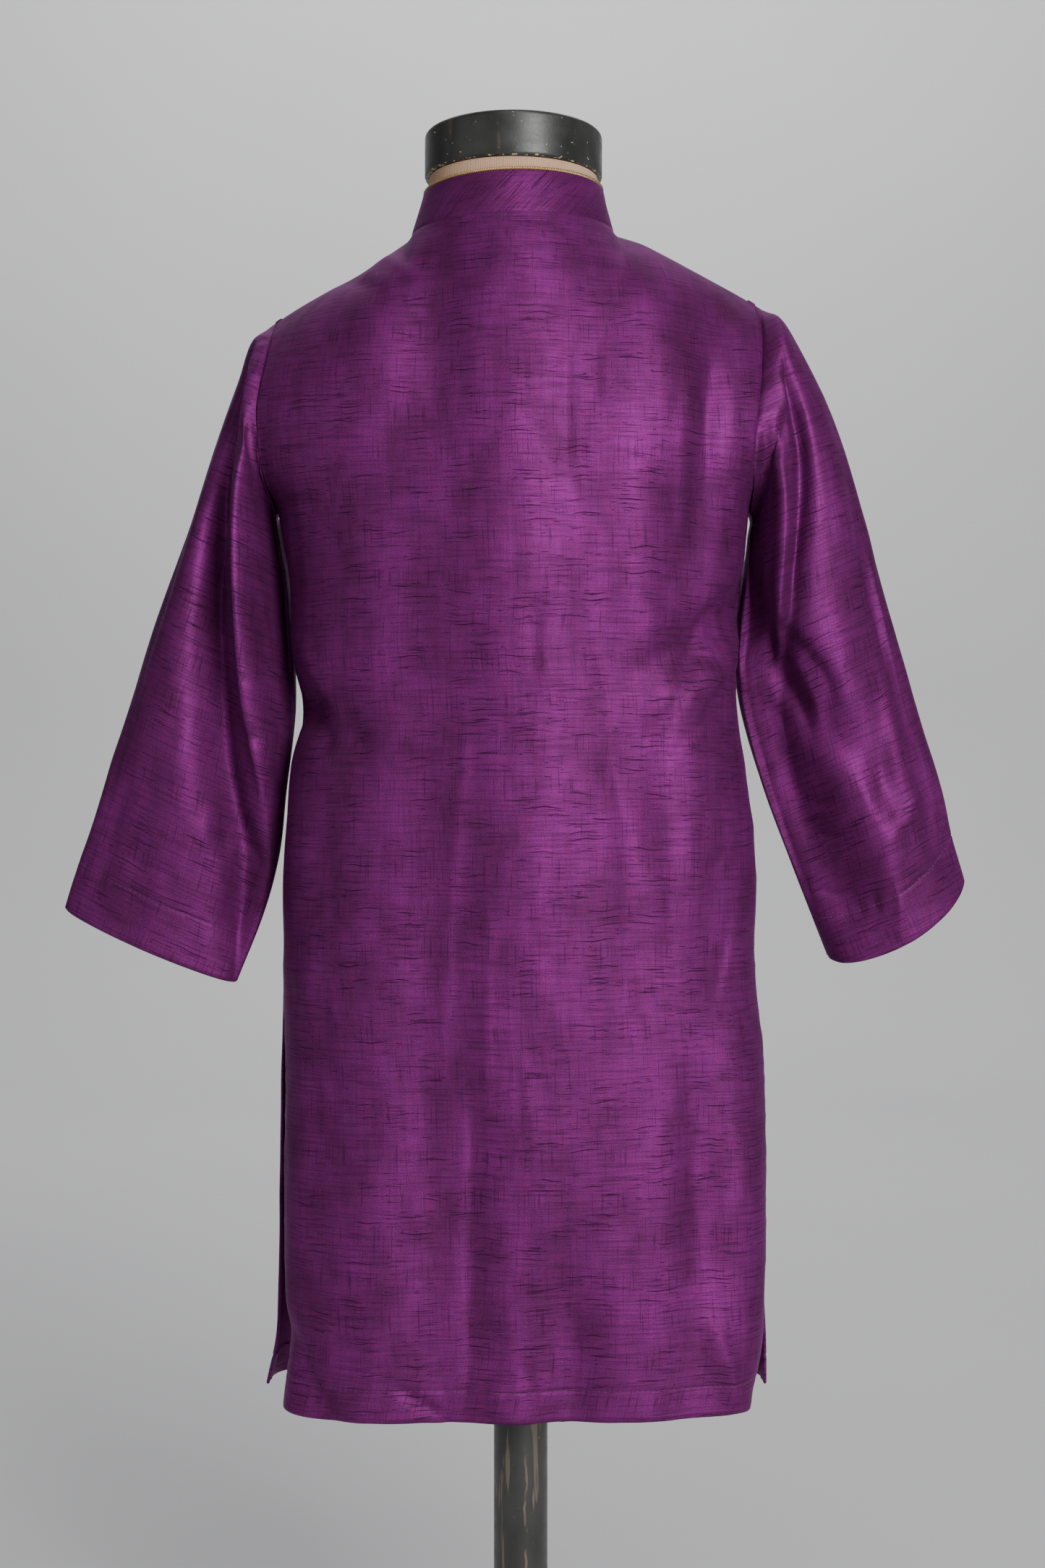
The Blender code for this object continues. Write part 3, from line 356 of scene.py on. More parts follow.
# Finer creases, on top of the folds: a line that may bow sideways, how wide it is to each side, and
# how far it stands out. A peak of 2 is a soft round fold, and a lower one has a sharper crest.
BACK_CREASES = table("""
x0 up0 x1 up1 bow left_width right_width out peak
# The long soft fold down the right of the middle, and the trough beside it.
.03 .532 .056 .365 -.002 .006 .011 -.0011 1.6
.054 .378 .068 .335 0 .006 .011 -.0011 1.6
.072 .39 .074 .27 .003 .014 .012 -.002 2
# Thin ridges below the waist.
-.035 .358 -.043 .246 .001 .004 .006 .0011 1.5
-.0185 .28 -.019 .208 0 .004 .005 .001 1.5
.002 .206 .0065 .178 0 .003 .0045 .0008 1.5
# The boundary of the skirt's highlight.
-.028 .156 -.03 .048 .001 .012 .004 -.0024 1.6
.108 .174 .109 .096 0 .013 .012 -.0024 2
.0085 .466 .008 .438 0 .004 .006 -.0012 1.8
# Short upright creases below the right shoulder blade.
.027 .606 .0275 .57 0 .0022 .005 -.001 1.5
.0435 .614 .044 .592 0 .0022 .005 -.0009 1.5
.113 .602 .112 .552 .002 .006 .007 -.0022 1.7
.098 .59 .096 .53 .003 .007 .005 .0012 1.8
# Creases that fan from the right armpit.
.129 .47 .088 .412 .004 .0045 .006 -.0024 1.5
.131 .456 .101 .402 .002 .004 .005 .002 1.5
.128 .436 .1 .399 .002 .004 .005 -.0026 1.5
.132 .486 .101 .444 .003 .0045 .0055 -.0016 1.6
.129 .366 .117 .36 0 .0022 .0026 -.001 1.6
# The slanting line down to the right slit.
.137 .332 .125 .27 .002 .003 .0045 .0012 1.5
.133 .318 .121 .264 .002 .004 .004 -.001 1.7
# Under the left arm.
-.134 .418 -.118 .396 0 .0055 .006 -.004 1.6
-.128 .446 -.108 .406 .001 .005 .006 .0012 1.8
-.116 .348 -.112 .3 .002 .01 .014 -.0016 2
-.133 .244 -.112 .225 0 .006 .008 -.001 2
# The yoke beside the neck.
-.078 .68 -.048 .656 .002 .004 .006 .0012 1.8
-.094 .664 -.058 .642 .002 .005 .007 -.0012 1.8
.07 .682 .09 .65 .001 .005 .006 -.0008 1.8
# Puckers at the hem, and the curled corner at its right end.
-.07 .02 -.052 .008 0 .0028 .0035 -.0012 1.6
-.064 .014 -.046 .004 0 .0024 .003 -.0009 1.6
.005 .026 .01 .004 0 .0026 .0036 -.0016 1.5
.018 .024 .024 .003 0 .0026 .0036 .0012 1.5
.118 .042 .13 .006 0 .006 .008 .003 1.8
-.132 .04 -.113 .006 0 .006 .008 -.0026 1.8
""")
FRONT_CREASES = table("""
x0 up0 x1 up1 bow left_width right_width out peak
-.034 .505 -.052 .35 .003 .004 .01 -.0016 1.5
.042 .49 .056 .34 -.003 .01 .004 -.0015 1.5
-.125 .486 -.09 .43 -.003 .005 .006 -.0022 1.6
-.123 .462 -.098 .42 -.002 .0045 .005 .0016 1.6
.126 .492 .088 .43 .003 .005 .006 -.0022 1.6
.124 .466 .096 .422 .002 .0045 .005 .0016 1.6
.006 .39 .001 .27 .002 .005 .006 .0011 1.6
-.03 .29 -.034 .19 .001 .004 .006 -.0012 1.6
.062 .27 .06 .15 .002 .006 .005 .0013 1.6
.104 .18 .106 .08 .001 .011 .01 -.0018 2
-.11 .61 -.108 .55 -.002 .006 .006 -.0018 1.7
.112 .61 .108 .55 .002 .006 .006 -.0018 1.7
-.082 .026 -.076 .003 0 .003 .0036 -.0014 1.6
.024 .022 .03 .003 0 .0026 .0036 .0011 1.6
.09 .028 .094 .003 0 .003 .004 -.0013 1.6
""")

# Creases in the sleeves by the share of the length and of the way round: the outer edge and the front.
SLEEVE_CREASES = {
    "left": table("""
along0 turn0 along1 turn1 bow near_width far_width out peak
.1 .08 .2 .1 0 .014 .018 -.0016 1.8
.76 .11 .92 .12 0 .022 .03 -.0016 2
.3 .06 .7 .07 .004 .018 .022 -.001 2
.24 .7 .6 .66 .006 .016 .022 -.003 1.6
.56 .64 .74 .56 0 .014 .018 -.0022 1.6
.4 .84 .72 .88 .004 .018 .022 -.0014 1.9
.3 .6 .44 .68 .004 .01 .014 -.0018 1.7
.46 .59 .56 .68 .004 .01 .014 .0016 1.7
"""),
    "right": table("""
along0 turn0 along1 turn1 bow near_width far_width out peak
.5 .08 .6 .09 0 .01 .012 .0012 1.7
.26 .68 .56 .64 .006 .016 .02 -.003 1.6
.5 .58 .66 .74 .004 .012 .018 -.003 1.6
.54 .58 .68 .7 .004 .012 .014 .0018 1.6
.7 .62 .8 .76 .004 .012 .018 -.0018 1.7
.4 .86 .74 .88 .004 .018 .022 -.0014 1.9
"""),
}

# Bent creases behind the sleeves. Each row is a place on the crease, how wide it is towards the
# lesser and the greater x, or below and above where it runs level, and how far it stands out.
SLEEVE_PATHS = {
    "left": paths("""
# The valley on the outer side of the roll.
-.1712 .579 .01 .004 0
-.1745 .555 .011 .004 -.005
-.1765 .5325 .012 .004 -.01
-.1765 .4893 .013 .004 -.012
-.1765 .4471 .013 .004 -.011
-.175 .4044 .012 .004 -.008
-.173 .3744 .011 .004 -.006
-.169 .348 .009 .004 -.004
-.1615 .326 .007 .004 -.0026
-.154 .312 .006 .004 0

# The roll between the valley and the body, steep on its outer side.
-.159 .576 .0045 .007 0
-.1615 .56 .0045 .008 .004
-.1632 .5442 .0045 .009 .007
-.1638 .511 .0045 .01 .009
-.1628 .4688 .0045 .011 .0096
-.1612 .4263 .0045 .011 .0088
-.1588 .401 .0045 .01 .007
-.155 .3749 .0045 .008 .004
-.151 .345 .0045 .008 0

# The dark channel between the roll and the body.
-.149 .578 .004 .006 0
-.15 .56 .005 .007 -.006
-.1505 .5327 .006 .008 -.014
-.148 .5027 .006 .009 -.018
-.1446 .4771 .006 .009 -.018
-.1412 .45 .006 .009 -.014
-.1396 .43 .006 .009 -.006
-.1386 .413 .005 .008 0

# Creases across the roll's foot.
-.164 .4 .0026 .0026 0
-.156 .396 .0028 .0028 -.0018
-.146 .389 .0028 .0028 0

-.147 .37 .0024 .0024 0
-.141 .375 .0026 .0026 -.0016
-.135 .381 .0026 .0026 0

-.165 .434 .0022 .0026 0
-.158 .429 .0022 .0026 -.001
-.152 .428 .0022 .0026 0

# Above the hem.
-.188 .356 .007 .006 0
-.1881 .338 .008 .006 .0018
-.187 .32 .008 .006 0

-.181 .35 .005 .006 0
-.1795 .336 .005 .006 -.0022
-.179 .323 .005 .006 0

-.236 .33 .006 .008 0
-.2287 .32 .007 .008 -.002
-.22 .312 .006 .008 0

-.196 .42 .008 .008 0
-.202 .39 .008 .01 .0012
-.21 .36 .008 .01 0
"""),
    "right": paths("""
# The side toward the body falls away, above the elbow and below it.
.14 .585 .02 .005 0
.1412 .565 .02 .006 -.005
.1418 .535 .02 .007 -.01
.1404 .505 .02 .007 -.011
.139 .48 .02 .008 -.01
.139 .455 .02 .01 -.008
.14 .43 .02 .01 0

.148 .47 .03 .006 0
.152 .452 .03 .009 -.007
.1565 .425 .03 .013 -.011
.162 .395 .03 .016 -.012
.169 .362 .03 .018 -.011
.177 .33 .03 .018 -.008
.185 .3 .03 .018 -.004
.189 .275 .03 .018 0

# The small pit below the armhole.
.157 .593 .003 .005 0
.1545 .58 .0036 .006 -.0036
.15 .566 .003 .005 -.003
.147 .556 .0028 .004 0

# The long fold below it, sharp on its outer side, and the ridge on its inner side.
.16 .596 .005 .003 0
.164 .58 .007 .0034 -.003
.1668 .5515 .008 .0036 -.0044
.165 .5212 .008 .0036 -.0044
.1612 .495 .007 .0034 -.0038
.1563 .469 .005 .003 0

.153 .558 .005 .005 0
.156 .535 .005 .005 .0026
.156 .505 .005 .005 .003
.153 .475 .005 .005 .0024
.15 .46 .005 .005 0

# The slanting fold at the elbow, and a second one below it with a ridge between them.
.15 .466 .005 .003 0
.16 .459 .006 .0032 -.0034
.172 .446 .006 .0034 -.0044
.183 .431 .006 .0036 -.0038
.19 .408 .006 .004 0

.159 .45 .0034 .0034 0
.168 .436 .0036 .0036 .003
.177 .418 .004 .0036 .003
.183 .398 .004 .004 0

.156 .446 .005 .003 0
.164 .429 .006 .0032 -.003
.173 .41 .006 .0034 -.0034
.177 .39 .006 .0036 0

# Creases across the forearm.
.17 .362 .003 .0026 0
.183 .357 .0034 .0028 -.0022
.196 .3565 .0034 .0028 -.0018
.208 .359 .003 .0026 0

.176 .349 .003 .003 0
.19 .347 .0036 .003 .0016
.204 .349 .003 .003 0

.178 .34 .003 .0026 0
.19 .337 .0034 .0028 -.002
.208 .339 .003 .0026 0

.18 .305 .003 .0026 0
.195 .301 .0034 .0028 -.0014
.211 .303 .003 .0026 0

.152 .42 .004 .004 0
.16 .408 .0045 .004 -.0016
.17 .398 .004 .004 0

# Down the outer side.
.196 .52 .008 .008 0
.203 .485 .009 .008 -.002
.211 .45 .009 .008 -.0028
.216 .415 .009 .008 -.0028
.217 .37 .008 .008 -.0022
.215 .33 .007 .008 0

.217 .47 .0034 .005 0
.22 .445 .0034 .005 .0016
.2225 .42 .0034 .005 0

.221 .33 .005 .005 0
.23 .342 .005 .005 .002
.24 .356 .005 .005 .002
.246 .368 .005 .005 0

.229 .306 .004 .005 0
.2309 .292 .004 .005 .0018
.2315 .279 .004 .005 .0014
"""),
}


# Small bent creases on the back beside the right sleeve, in the same columns.
BACK_PATHS = paths("""
.106 .463 .0022 .0026 0
.116 .468 .0024 .0028 -.0013
.1279 .4707 .002 .0024 0

.103 .456 .0024 .0026 0
.111 .461 .0024 .0028 -.0012
.1239 .4657 .002 .0024 0

.1078 .449 .0022 .0026 0
.1179 .4536 .0026 .003 -.0016
.127 .4587 .002 .0024 0

.0987 .4446 .0024 .0022 0
.1118 .442 .0026 .0024 -.001
.1249 .4446 .002 .002 0

.1118 .433 .0022 .0024 0
.1189 .4353 .0026 .0026 -.0014
.126 .4415 .002 .0022 0

.109 .419 .003 .004 0
.1159 .4101 .0036 .005 -.0022
.1215 .4 .003 .004 0

.098 .416 .0022 .0022 0
.1056 .4202 .0024 .0024 -.0011
.1135 .425 .002 .002 0

.1048 .494 .0026 .0022 0
.1138 .4909 .0028 .0024 -.0013
.1275 .484 .0024 .002 0

.119 .522 .0024 .0024 0
.1265 .5181 .0026 .0026 -.0013
.133 .5125 .0022 .0022 0

.122 .54 .0024 .0022 0
.127 .534 .0026 .0024 .001
.132 .529 .0022 .0022 0

.1215 .552 .0026 .0024 0
.1285 .5474 .0028 .0026 -.0013
.1345 .548 .0022 .0022 0

.106 .319 .0024 .0024 0
.115 .3225 .0026 .0026 -.0009
.123 .329 .0024 .0024 0
""")


# Curves and sections.


def curve_through(knots, values, at):
    """Values of a smooth curve through table rows, at the given places."""
    knots = np.asarray(knots, float)
    values = np.asarray(values, float)
    at = np.clip(np.asarray(at, float), knots[0], knots[-1])
    slopes = np.gradient(values, knots, axis=0)
    i = np.clip(np.searchsorted(knots, at, side="right") - 1, 0, len(knots) - 2)
    span = knots[i + 1] - knots[i]
    f = (at - knots[i]) / span
    shape = f.shape + (1,) * (values.ndim - 1)
    f, span = f.reshape(shape), span.reshape(shape)
    ease = f * f * (3 - 2 * f)
    start = values[i] * (1 - ease) + values[i + 1] * ease
    bend = f * (1 - f) ** 2 * slopes[i] - f * f * (1 - f) * slopes[i + 1]
    return start + span * bend


def read(columns, key, name, at):
    return curve_through(columns[key], columns[name], at)


def arc(left, right, edge_y, deep_y, boxy, shares):
    """A half section from one edge to the other, at shares -1 to 1 of its length."""
    angle = np.linspace(-math.pi / 2, math.pi / 2, ARC_STEPS)
    across = np.sign(np.sin(angle)) * np.abs(np.sin(angle)) ** (2 / boxy)
    depth = np.abs(np.cos(angle)) ** (2 / boxy)
    x = (left + right) / 2 + (right - left) / 2 * across
    y = edge_y + (deep_y - edge_y) * depth
    run = np.concatenate([[0], np.cumsum(np.hypot(np.diff(x), np.diff(y)))])
    place = (np.asarray(shares) + 1) / 2 * run[-1]
    return np.interp(place, run, x), np.interp(place, run, y)


def neck_ring(angle, back_radius, front_radius, side_radius, up, drop, mid_x=NECK_MID_X):
    """A ring round the neck. The angle is 0 at the back and a right angle at the wearer's right."""
    facing = np.cos(angle)
    y = np.where(facing > 0, -back_radius * facing, -front_radius * facing)
    fall = drop * np.clip(-facing, 0, 1) ** NECK_DROP_POWER
    lean = NECK_LEAN * np.sin(angle)
    return np.stack([mid_x + side_radius * np.sin(angle), y, up + lean - fall], axis=-1)


def neck_seam(angle):
    return neck_ring(
        angle, NECK_SEAM_RADIUS, NECK_FRONT_RADIUS, NECK_SEAM_RADIUS, NECK_SEAM_UP, NECK_FRONT_DROP
    )


def skirt_row(side, up, shares):
    """The panel from side seam to side seam, below the armpit."""
    sign = -1 if side == "back" else 1
    edge = sign * read(SIDES, "up", "ajar", up)
    x, y = arc(
        float(read(SIDES, "up", side + "_left", up)),
        float(read(SIDES, "up", side + "_right", up)),
        float(edge),
        float(read(SIDES, "up", side, up)),
        float(read(SIDES, "up", "boxy", up)),
        shares,
    )
    return np.stack([x, y, np.full(len(x), up)], axis=-1)


def top_row(side, shares):
    """The panel's top edge: one shoulder seam, the neck and the other shoulder seam."""
    points = np.zeros((len(shares), 3))
    for k, share in enumerate(shares):
        if abs(share) <= NECK_SHARE:
            angle = math.asin(share / NECK_SHARE)
            angle = angle if side == "back" else math.pi - angle
            points[k] = neck_seam(np.array(angle))
            continue
        hand = "left" if share < 0 else "right"
        line = SHOULDERS[hand]
        along = (1 - abs(share)) / (1 - NECK_SHARE)
        y = SHOULDER_SEAM_Y * (1 - along)
        points[k] = (read(line, "share", "x", along), y, read(line, "share", "up", along))
    return points


def armhole(side, hand, share):
    names = (side + "_x", side + "_y", "up")
    return np.stack([read(ARMHOLES[hand], "share", name, share) for name in names], axis=-1)


def yoke_row(side, share, shares, bottom, top):
    """The panel above the armpit, from its chest row to the shoulder and neck seams."""
    # Steep at the neck, and turning level over the shoulders.
    turn = fade(np.abs(shares) - YOKE_STEEP_SHARE, YOKE_TURN_SHARE)
    over = (1 - share ** (2.0 + YOKE_LATE * turn)) ** (1.0 - YOKE_ROUND * turn)
    row = bottom * (1 - share) + top * share
    # The neck's round shape fades into a softer swell a little way below its seam.
    radius = NECK_SEAM_RADIUS if side == "back" else -NECK_FRONT_RADIUS
    soft = -radius * np.exp(-((shares / NECK_SWELL_SHARE) ** 2))
    top_y = soft + (top[:, 1] - soft) * share**NECK_SWELL_POWER
    row[:, 1] = top_y + (bottom[:, 1] - top_y) * over
    for hand, end in (("left", 0), ("right", -1)):
        if is_edge(shares[end]):
            reach = np.clip(-shares if hand == "left" else shares, 0, 1) ** ARMHOLE_PULL_POWER
            row = row + reach[:, None] * (armhole(side, hand, share) - row[end])
    return row


def is_edge(share):
    """Whether a column is the side edge of its panel."""
    return abs(share) > 0.999


def panel_grid(side, shares, skirt_ups, yoke_shares):
    """The outer points of the back or front panel, from the hem to the neck."""
    rows = [skirt_row(side, up, shares) for up in skirt_ups]
    bottom = skirt_row(side, ARMPIT_UP, shares)
    top = top_row(side, shares)
    rows += [yoke_row(side, share, shares, bottom, top) for share in yoke_shares]
    return np.array(rows)


def length_of(vectors):
    return np.maximum(np.linalg.norm(vectors, axis=-1, keepdims=True), 1e-12)


def normals_of(grid, closed=False):
    """Unit normals of a grid of points, on the side of columns crossed with rows."""
    across = np.gradient(grid, axis=1)
    if closed:
        ahead, behind = np.roll(grid, -1, axis=1) - grid, grid - np.roll(grid, 1, axis=1)
        across = ahead / length_of(ahead) + behind / length_of(behind)
    along = np.gradient(grid, axis=0)
    normal = np.cross(across, along)
    return normal / length_of(normal)


def fold_height(folds, names, first, second, tail=FOLD_TAIL):
    """How far a table of folds or creases moves each point, given its two places on the cloth."""
    a0, b0, a1, b1, near, far = names.split()
    total = np.zeros(first.shape)
    for k, out in enumerate(folds["out"]):
        start = np.array([folds[a0][k], folds[b0][k]])
        line = np.array([folds[a1][k], folds[b1][k]]) - start
        length = np.hypot(*line)
        line = line / length
        da, db = first - start[0], second - start[1]
        run = da * line[0] + db * line[1]
        off = da * line[1] - db * line[0]
        if "bow" in folds:
            share = np.clip(run / length, 0, 1)
            off -= folds["bow"][k] * 4 * share * (1 - share)
        width = np.where(off < 0, folds[near][k], folds[far][k])
        past = np.maximum(np.maximum(-run, run - length), 0) / (tail * length)
        peak = folds["peak"][k] if "peak" in folds else ROUND_PEAK
        total += out * np.exp(-((np.abs(off) / width) ** peak) - past**2)
    return total


def fade(distance, reach):
    """0 at a seam, rising smoothly to 1 at that reach from it."""
    f = np.clip(distance / reach, 0, 1)
    return f * f * (3 - 2 * f)


def in_plane(normal, axis):
    """Unit normals with one component taken out."""
    flat = np.array(normal)
    flat[..., axis] = 0
    return flat / length_of(flat)


def armhole_normal(side, hand, share):
    """The way the seam faces round the armhole, which the panel and the sleeve share."""
    step = 0.02
    low = armhole(side, hand, np.clip(share - step, 0, 1))
    high = armhole(side, hand, np.clip(share + step, 0, 1))
    run = high - low
    turned = np.stack([0 * run[..., 0], -run[..., 2], run[..., 1]], axis=-1)
    turned *= 1 if side == "back" else -1
    # The loop closes level, at the armpit below and at the shoulder above.
    ends = np.array([[0, 0, -1.0], [0, 0, 1.0]])
    turned = turned / length_of(turned)
    turned = np.where((share < 0.01)[..., None], ends[0], turned)
    return np.where((share > 0.99)[..., None], ends[1], turned)


def panel_normals(side, shares, grid, rows_below, yoke_shares):
    """Which way the panel faces. At a seam both pieces face alike, so their edges meet squarely."""
    normal = normals_of(grid)
    normal = normal if side == "back" else -normal
    for column, hand in ((0, "left"), (-1, "right")):
        if is_edge(shares[column]):
            normal[:rows_below, column] = in_plane(normal[:rows_below, column], 1)
            normal[rows_below:, column] = armhole_normal(side, hand, np.array(yoke_shares))
    if len(yoke_shares) and yoke_shares[-1] > 0.999:
        shoulder = np.abs(shares) > NECK_SHARE - 1e-9
        normal[-1, shoulder] = in_plane(normal[-1, shoulder], 1)
    return normal


def sleeve_ring(hand, row, turns):
    """One ring of a sleeve, at shares of the way round."""
    rings = SLEEVES[hand]
    out = np.array([rings["out_x"][row], rings["out_up"][row]])
    inner = np.array([rings["in_x"][row], rings["in_up"][row]])
    mid, half = (out + inner) / 2, (out - inner) / 2
    down = np.array([half[1], -half[0]]) / np.hypot(*half)
    down = down if down[1] < 0 else -down
    angle = turns * 2 * math.pi
    power = 2 / rings["boxy"][row]
    across = np.sign(np.cos(angle)) * np.abs(np.cos(angle)) ** power
    deep = np.sign(np.sin(angle)) * np.abs(np.sin(angle)) ** power
    depth = np.where(deep > 0, rings["back"][row], rings["front"][row])
    hang = rings["hang"][row] * np.sin(angle)
    away = -down if (down[0] > 0) == (out[0] < 0) else down
    swell = rings["swell"][row] * np.sin(angle) ** 2
    flat = mid + across[:, None] * half + hang[:, None] * down + swell[:, None] * away
    return np.stack([flat[:, 0], rings["mid_y"][row] - depth * deep, flat[:, 1]], axis=-1)


def collar_points(angles, shares):
    """The outer points of the collar, from its seam to its top edge."""
    seam = neck_seam(angles)
    top = neck_ring(
        angles,
        COLLAR_TOP_RADIUS,
        COLLAR_TOP_RADIUS,
        COLLAR_TOP_RADIUS,
        COLLAR_TOP_UP,
        COLLAR_FRONT_DROP,
        FORM_MID_X,
    )
    grid = np.array([seam * (1 - share) + top * share for share in shares])
    return grid, in_plane(normals_of(grid), 2)


def lift(points):
    """Points measured up from the hem, moved to their height above the floor."""
    return points + np.array([0.0, 0.0, HEM_HEIGHT])


def form_foot():
    """Height of the form's flat underside above the floor."""
    return HEM_HEIGHT + TORSO_INSET["up"][0]


def rounded(radius, height, corner, steps=4):
    """The rounded upper outer corner of a turned profile."""
    angles = [k / steps * math.pi / 2 for k in range(steps + 1)]
    return [
        (radius - corner + corner * math.cos(a), height - corner + corner * math.sin(a))
        for a in angles
    ]


def inset_grid(side, shares, ups, yokes):
    """The cloth's plain points moved in, for the dress form."""
    sign = -1 if side == "back" else 1
    grid = panel_grid(side, shares, ups, yokes)
    facing = panel_normals(side, shares, grid, len(ups), yokes)
    for k, up in enumerate(ups):
        inset = float(read(TORSO_INSET, "up", "inset", up))
        grid[k, :, 0], grid[k, :, 1] = arc(
            float(read(SIDES, "up", "front_left", up)) + inset,
            float(read(SIDES, "up", "front_right", up)) - inset,
            0.0,
            float(read(SIDES, "up", side, up)) - sign * inset,
            FORM_BOXY,
            shares,
        )
    inset = read(YOKE_INSET, "share", "inset", yokes)
    # The form is smoother than the cloth, so it is moved in by the mean of what faces nearby.
    even = facing.copy()
    for _ in range(2):
        even[:, 1:-1] = (even[:, :-2] + 2 * even[:, 1:-1] + even[:, 2:]) / 4
    facing[:-1] = even[:-1] / length_of(even[:-1])
    grid[len(ups) :] -= facing[len(ups) :] * inset[:, None, None]
    shoulder = np.abs(shares) > NECK_SHARE - 1e-9
    # Below the ridge of the shoulder, the back stays behind it and the front before it.
    ridge = grid[-1, :, 1] + sign * RIDGE_HALF_WIDTH
    beyond = np.maximum(grid[:-1, :, 1] * sign, ridge * sign) * sign
    grid[:-1, shoulder, 1] = beyond[:, shoulder]
    return grid


def neck_rings(ring):
    """The form's neck, from the ring where it leaves the shoulders up through the collar."""
    angles = np.arctan2(ring[:, 0] - NECK_MID_X, -ring[:, 1])
    seam = neck_seam(angles)
    inward = np.stack([-np.sin(angles), np.cos(angles), 0 * angles], axis=-1)
    low = seam + inward * (COLLAR_WALL + 4 * NECK_INSIDE_COLLAR)
    low[:, 2] += 2 * NECK_INSIDE_COLLAR
    rings = [ring, low]
    for up, drop in ((COLLAR_TOP_UP, COLLAR_FRONT_DROP), (NECK_TOP_UP, 0.0)):
        rings.append(
            neck_ring(angles, NECK_RADIUS, NECK_RADIUS, NECK_RADIUS, up, drop, FORM_MID_X)
        )
    rings[-1][:, 2] = NECK_TOP_UP
    return np.array(rings)


def bent_crease(knots, x, up):
    """How far one bent crease moves each point."""
    line = curve_through(
        np.arange(len(knots)), knots, np.linspace(0, len(knots) - 1, 5 * len(knots))
    )
    nearest, height = np.full(x.shape, np.inf), np.zeros(x.shape)
    for a, b in zip(line, line[1:]):
        run = b[:2] - a[:2]
        share = np.clip(((x - a[0]) * run[0] + (up - a[1]) * run[1]) / (run @ run), 0, 1)
        dx, dup = x - a[0] - share * run[0], up - a[1] - share * run[1]
        distance = np.hypot(dx, dup)
        first, second, out = (a[k] + share * (b[k] - a[k]) for k in (2, 3, 4))
        width = np.where(run[0] * dup - run[1] * dx < 0, first, second)
        nearer = distance < nearest
        nearest = np.where(nearer, distance, nearest)
        height = np.where(nearer, out * np.exp(-((distance / width) ** BEND_PEAK)), height)
    return height


def ripples(first, second, cell, seed):
    """Smooth noise from -1 to 1 with cells of that size, the same on each run."""
    lattice = np.random.default_rng(seed).uniform(-1, 1, (256, 256))
    a, b = first / cell[0] + 64.0, second / cell[1] + 64.0
    i, j = np.floor(a).astype(int), np.floor(b).astype(int)
    s, t = a - i, b - j
    s, t = s * s * (3 - 2 * s), t * t * (3 - 2 * t)
    i, j = i % 255, j % 255
    low = lattice[i, j] * (1 - s) + lattice[i + 1, j] * s
    high = lattice[i, j + 1] * (1 - s) + lattice[i + 1, j + 1] * s
    return low * (1 - t) + high * t


def lengths_along(grid, axis):
    """Distance travelled along each row or column of a grid."""
    steps = np.linalg.norm(np.diff(grid, axis=axis), axis=-1)
    start = np.zeros_like(np.take(steps, [0], axis=axis))
    return np.concatenate([start, np.cumsum(steps, axis=axis)], axis=axis)


def groove(distance, width):
    return np.exp(-((distance / width) ** 2))


def hem_line(distance, along, seed):
    """A sewn hem line: a sharp groove, deeper at each stitch, and small uneven puckers beside it."""
    pucker = ripples(along, 0 * along, (0.0045, 1.0), seed)
    drawn = 0.75 + 0.25 * np.cos(along / STITCH_PITCH * 2 * math.pi)
    groove_depth = HEM_GROOVE * drawn * groove(distance, 0.0009)
    return HEM_PUCKER * pucker * groove(distance, 0.006) - groove_depth


def swollen(side, grid):
    """The folds and the creases of a panel."""
    folds, creases = (BACK_FOLDS, BACK_CREASES) if side == "back" else (FRONT_FOLDS, FRONT_CREASES)
    names, x, up = "x0 up0 x1 up1 left_width right_width", grid[:, :, 0], grid[:, :, 2]
    return fold_height(folds, names, x, up), fold_height(creases, names, x, up, CREASE_TAIL)


def panel_points(side, shares, skirt_ups, yoke_shares):
    """The panel with its folds and creases, the way it faces and its lengths along the cloth.

    The lengths are across and up the weave, and up each column from the hem.
    """
    grid = panel_grid(side, shares, skirt_ups, yoke_shares)
    across = lengths_along(grid, 1)
    across = across - across[:, [len(shares) // 2]]
    weft = weave_up(side, grid[:, :, 2])
    count = len(skirt_ups)
    heights, creases = swollen(side, grid)
    for knots in BACK_PATHS if side == "back" else []:
        creases += bent_crease(knots, grid[:, :, 0], grid[:, :, 2])
    seam = fade(1 - np.abs(shares)[None, :], SEAM_FADE)
    free = fade(SLIT_UP - grid[:, :, 2], SLIT_FADE)
    upper = np.concatenate([np.zeros(count), yoke_shares])
    heights *= np.maximum(seam, free * SLIT_FOLD) * fade(1 - upper, TOP_FADE)[:, None]
    near = fade(1 - np.abs(shares)[None, :], 0.03)
    creases *= np.maximum(near, free) * fade(1 - upper, 0.06)[:, None]
    along = lengths_along(grid, 0) + skirt_ups[0]
    seed = 11 if side == "back" else 23
    unsewn = np.maximum(near, free) * fade(1 - upper, 0.10)[:, None]
    creases += 0.00055 * unsewn * ripples(across, along, (0.021, 0.070), seed)
    creases += 0.00028 * unsewn * ripples(across, along, (0.009, 0.024), seed + 1)
    outward = panel_normals(side, shares, grid, count, yoke_shares)
    sewn = seam_height(side, shares, grid, across, along, upper)
    grid = grid + outward * (heights + creases + sewn)[:, :, None]
    return grid, panel_normals(side, shares, grid, count, yoke_shares), (across, weft), along


def weave_up(side, height):
    """Length up the weave for a height, measured on a line half way out to the side seam."""
    ups, yokes = np.linspace(0, ARMPIT_UP, 60), np.sin(np.linspace(0.02, 1, 50) * math.pi / 2)
    line = panel_grid(side, np.array([0.5]), ups, yokes)
    length = lengths_along(line, 0)[:, 0]
    top = line[-1, 0, 2]
    return np.interp(height, line[:, 0, 2], length) + np.maximum(height - top, 0)


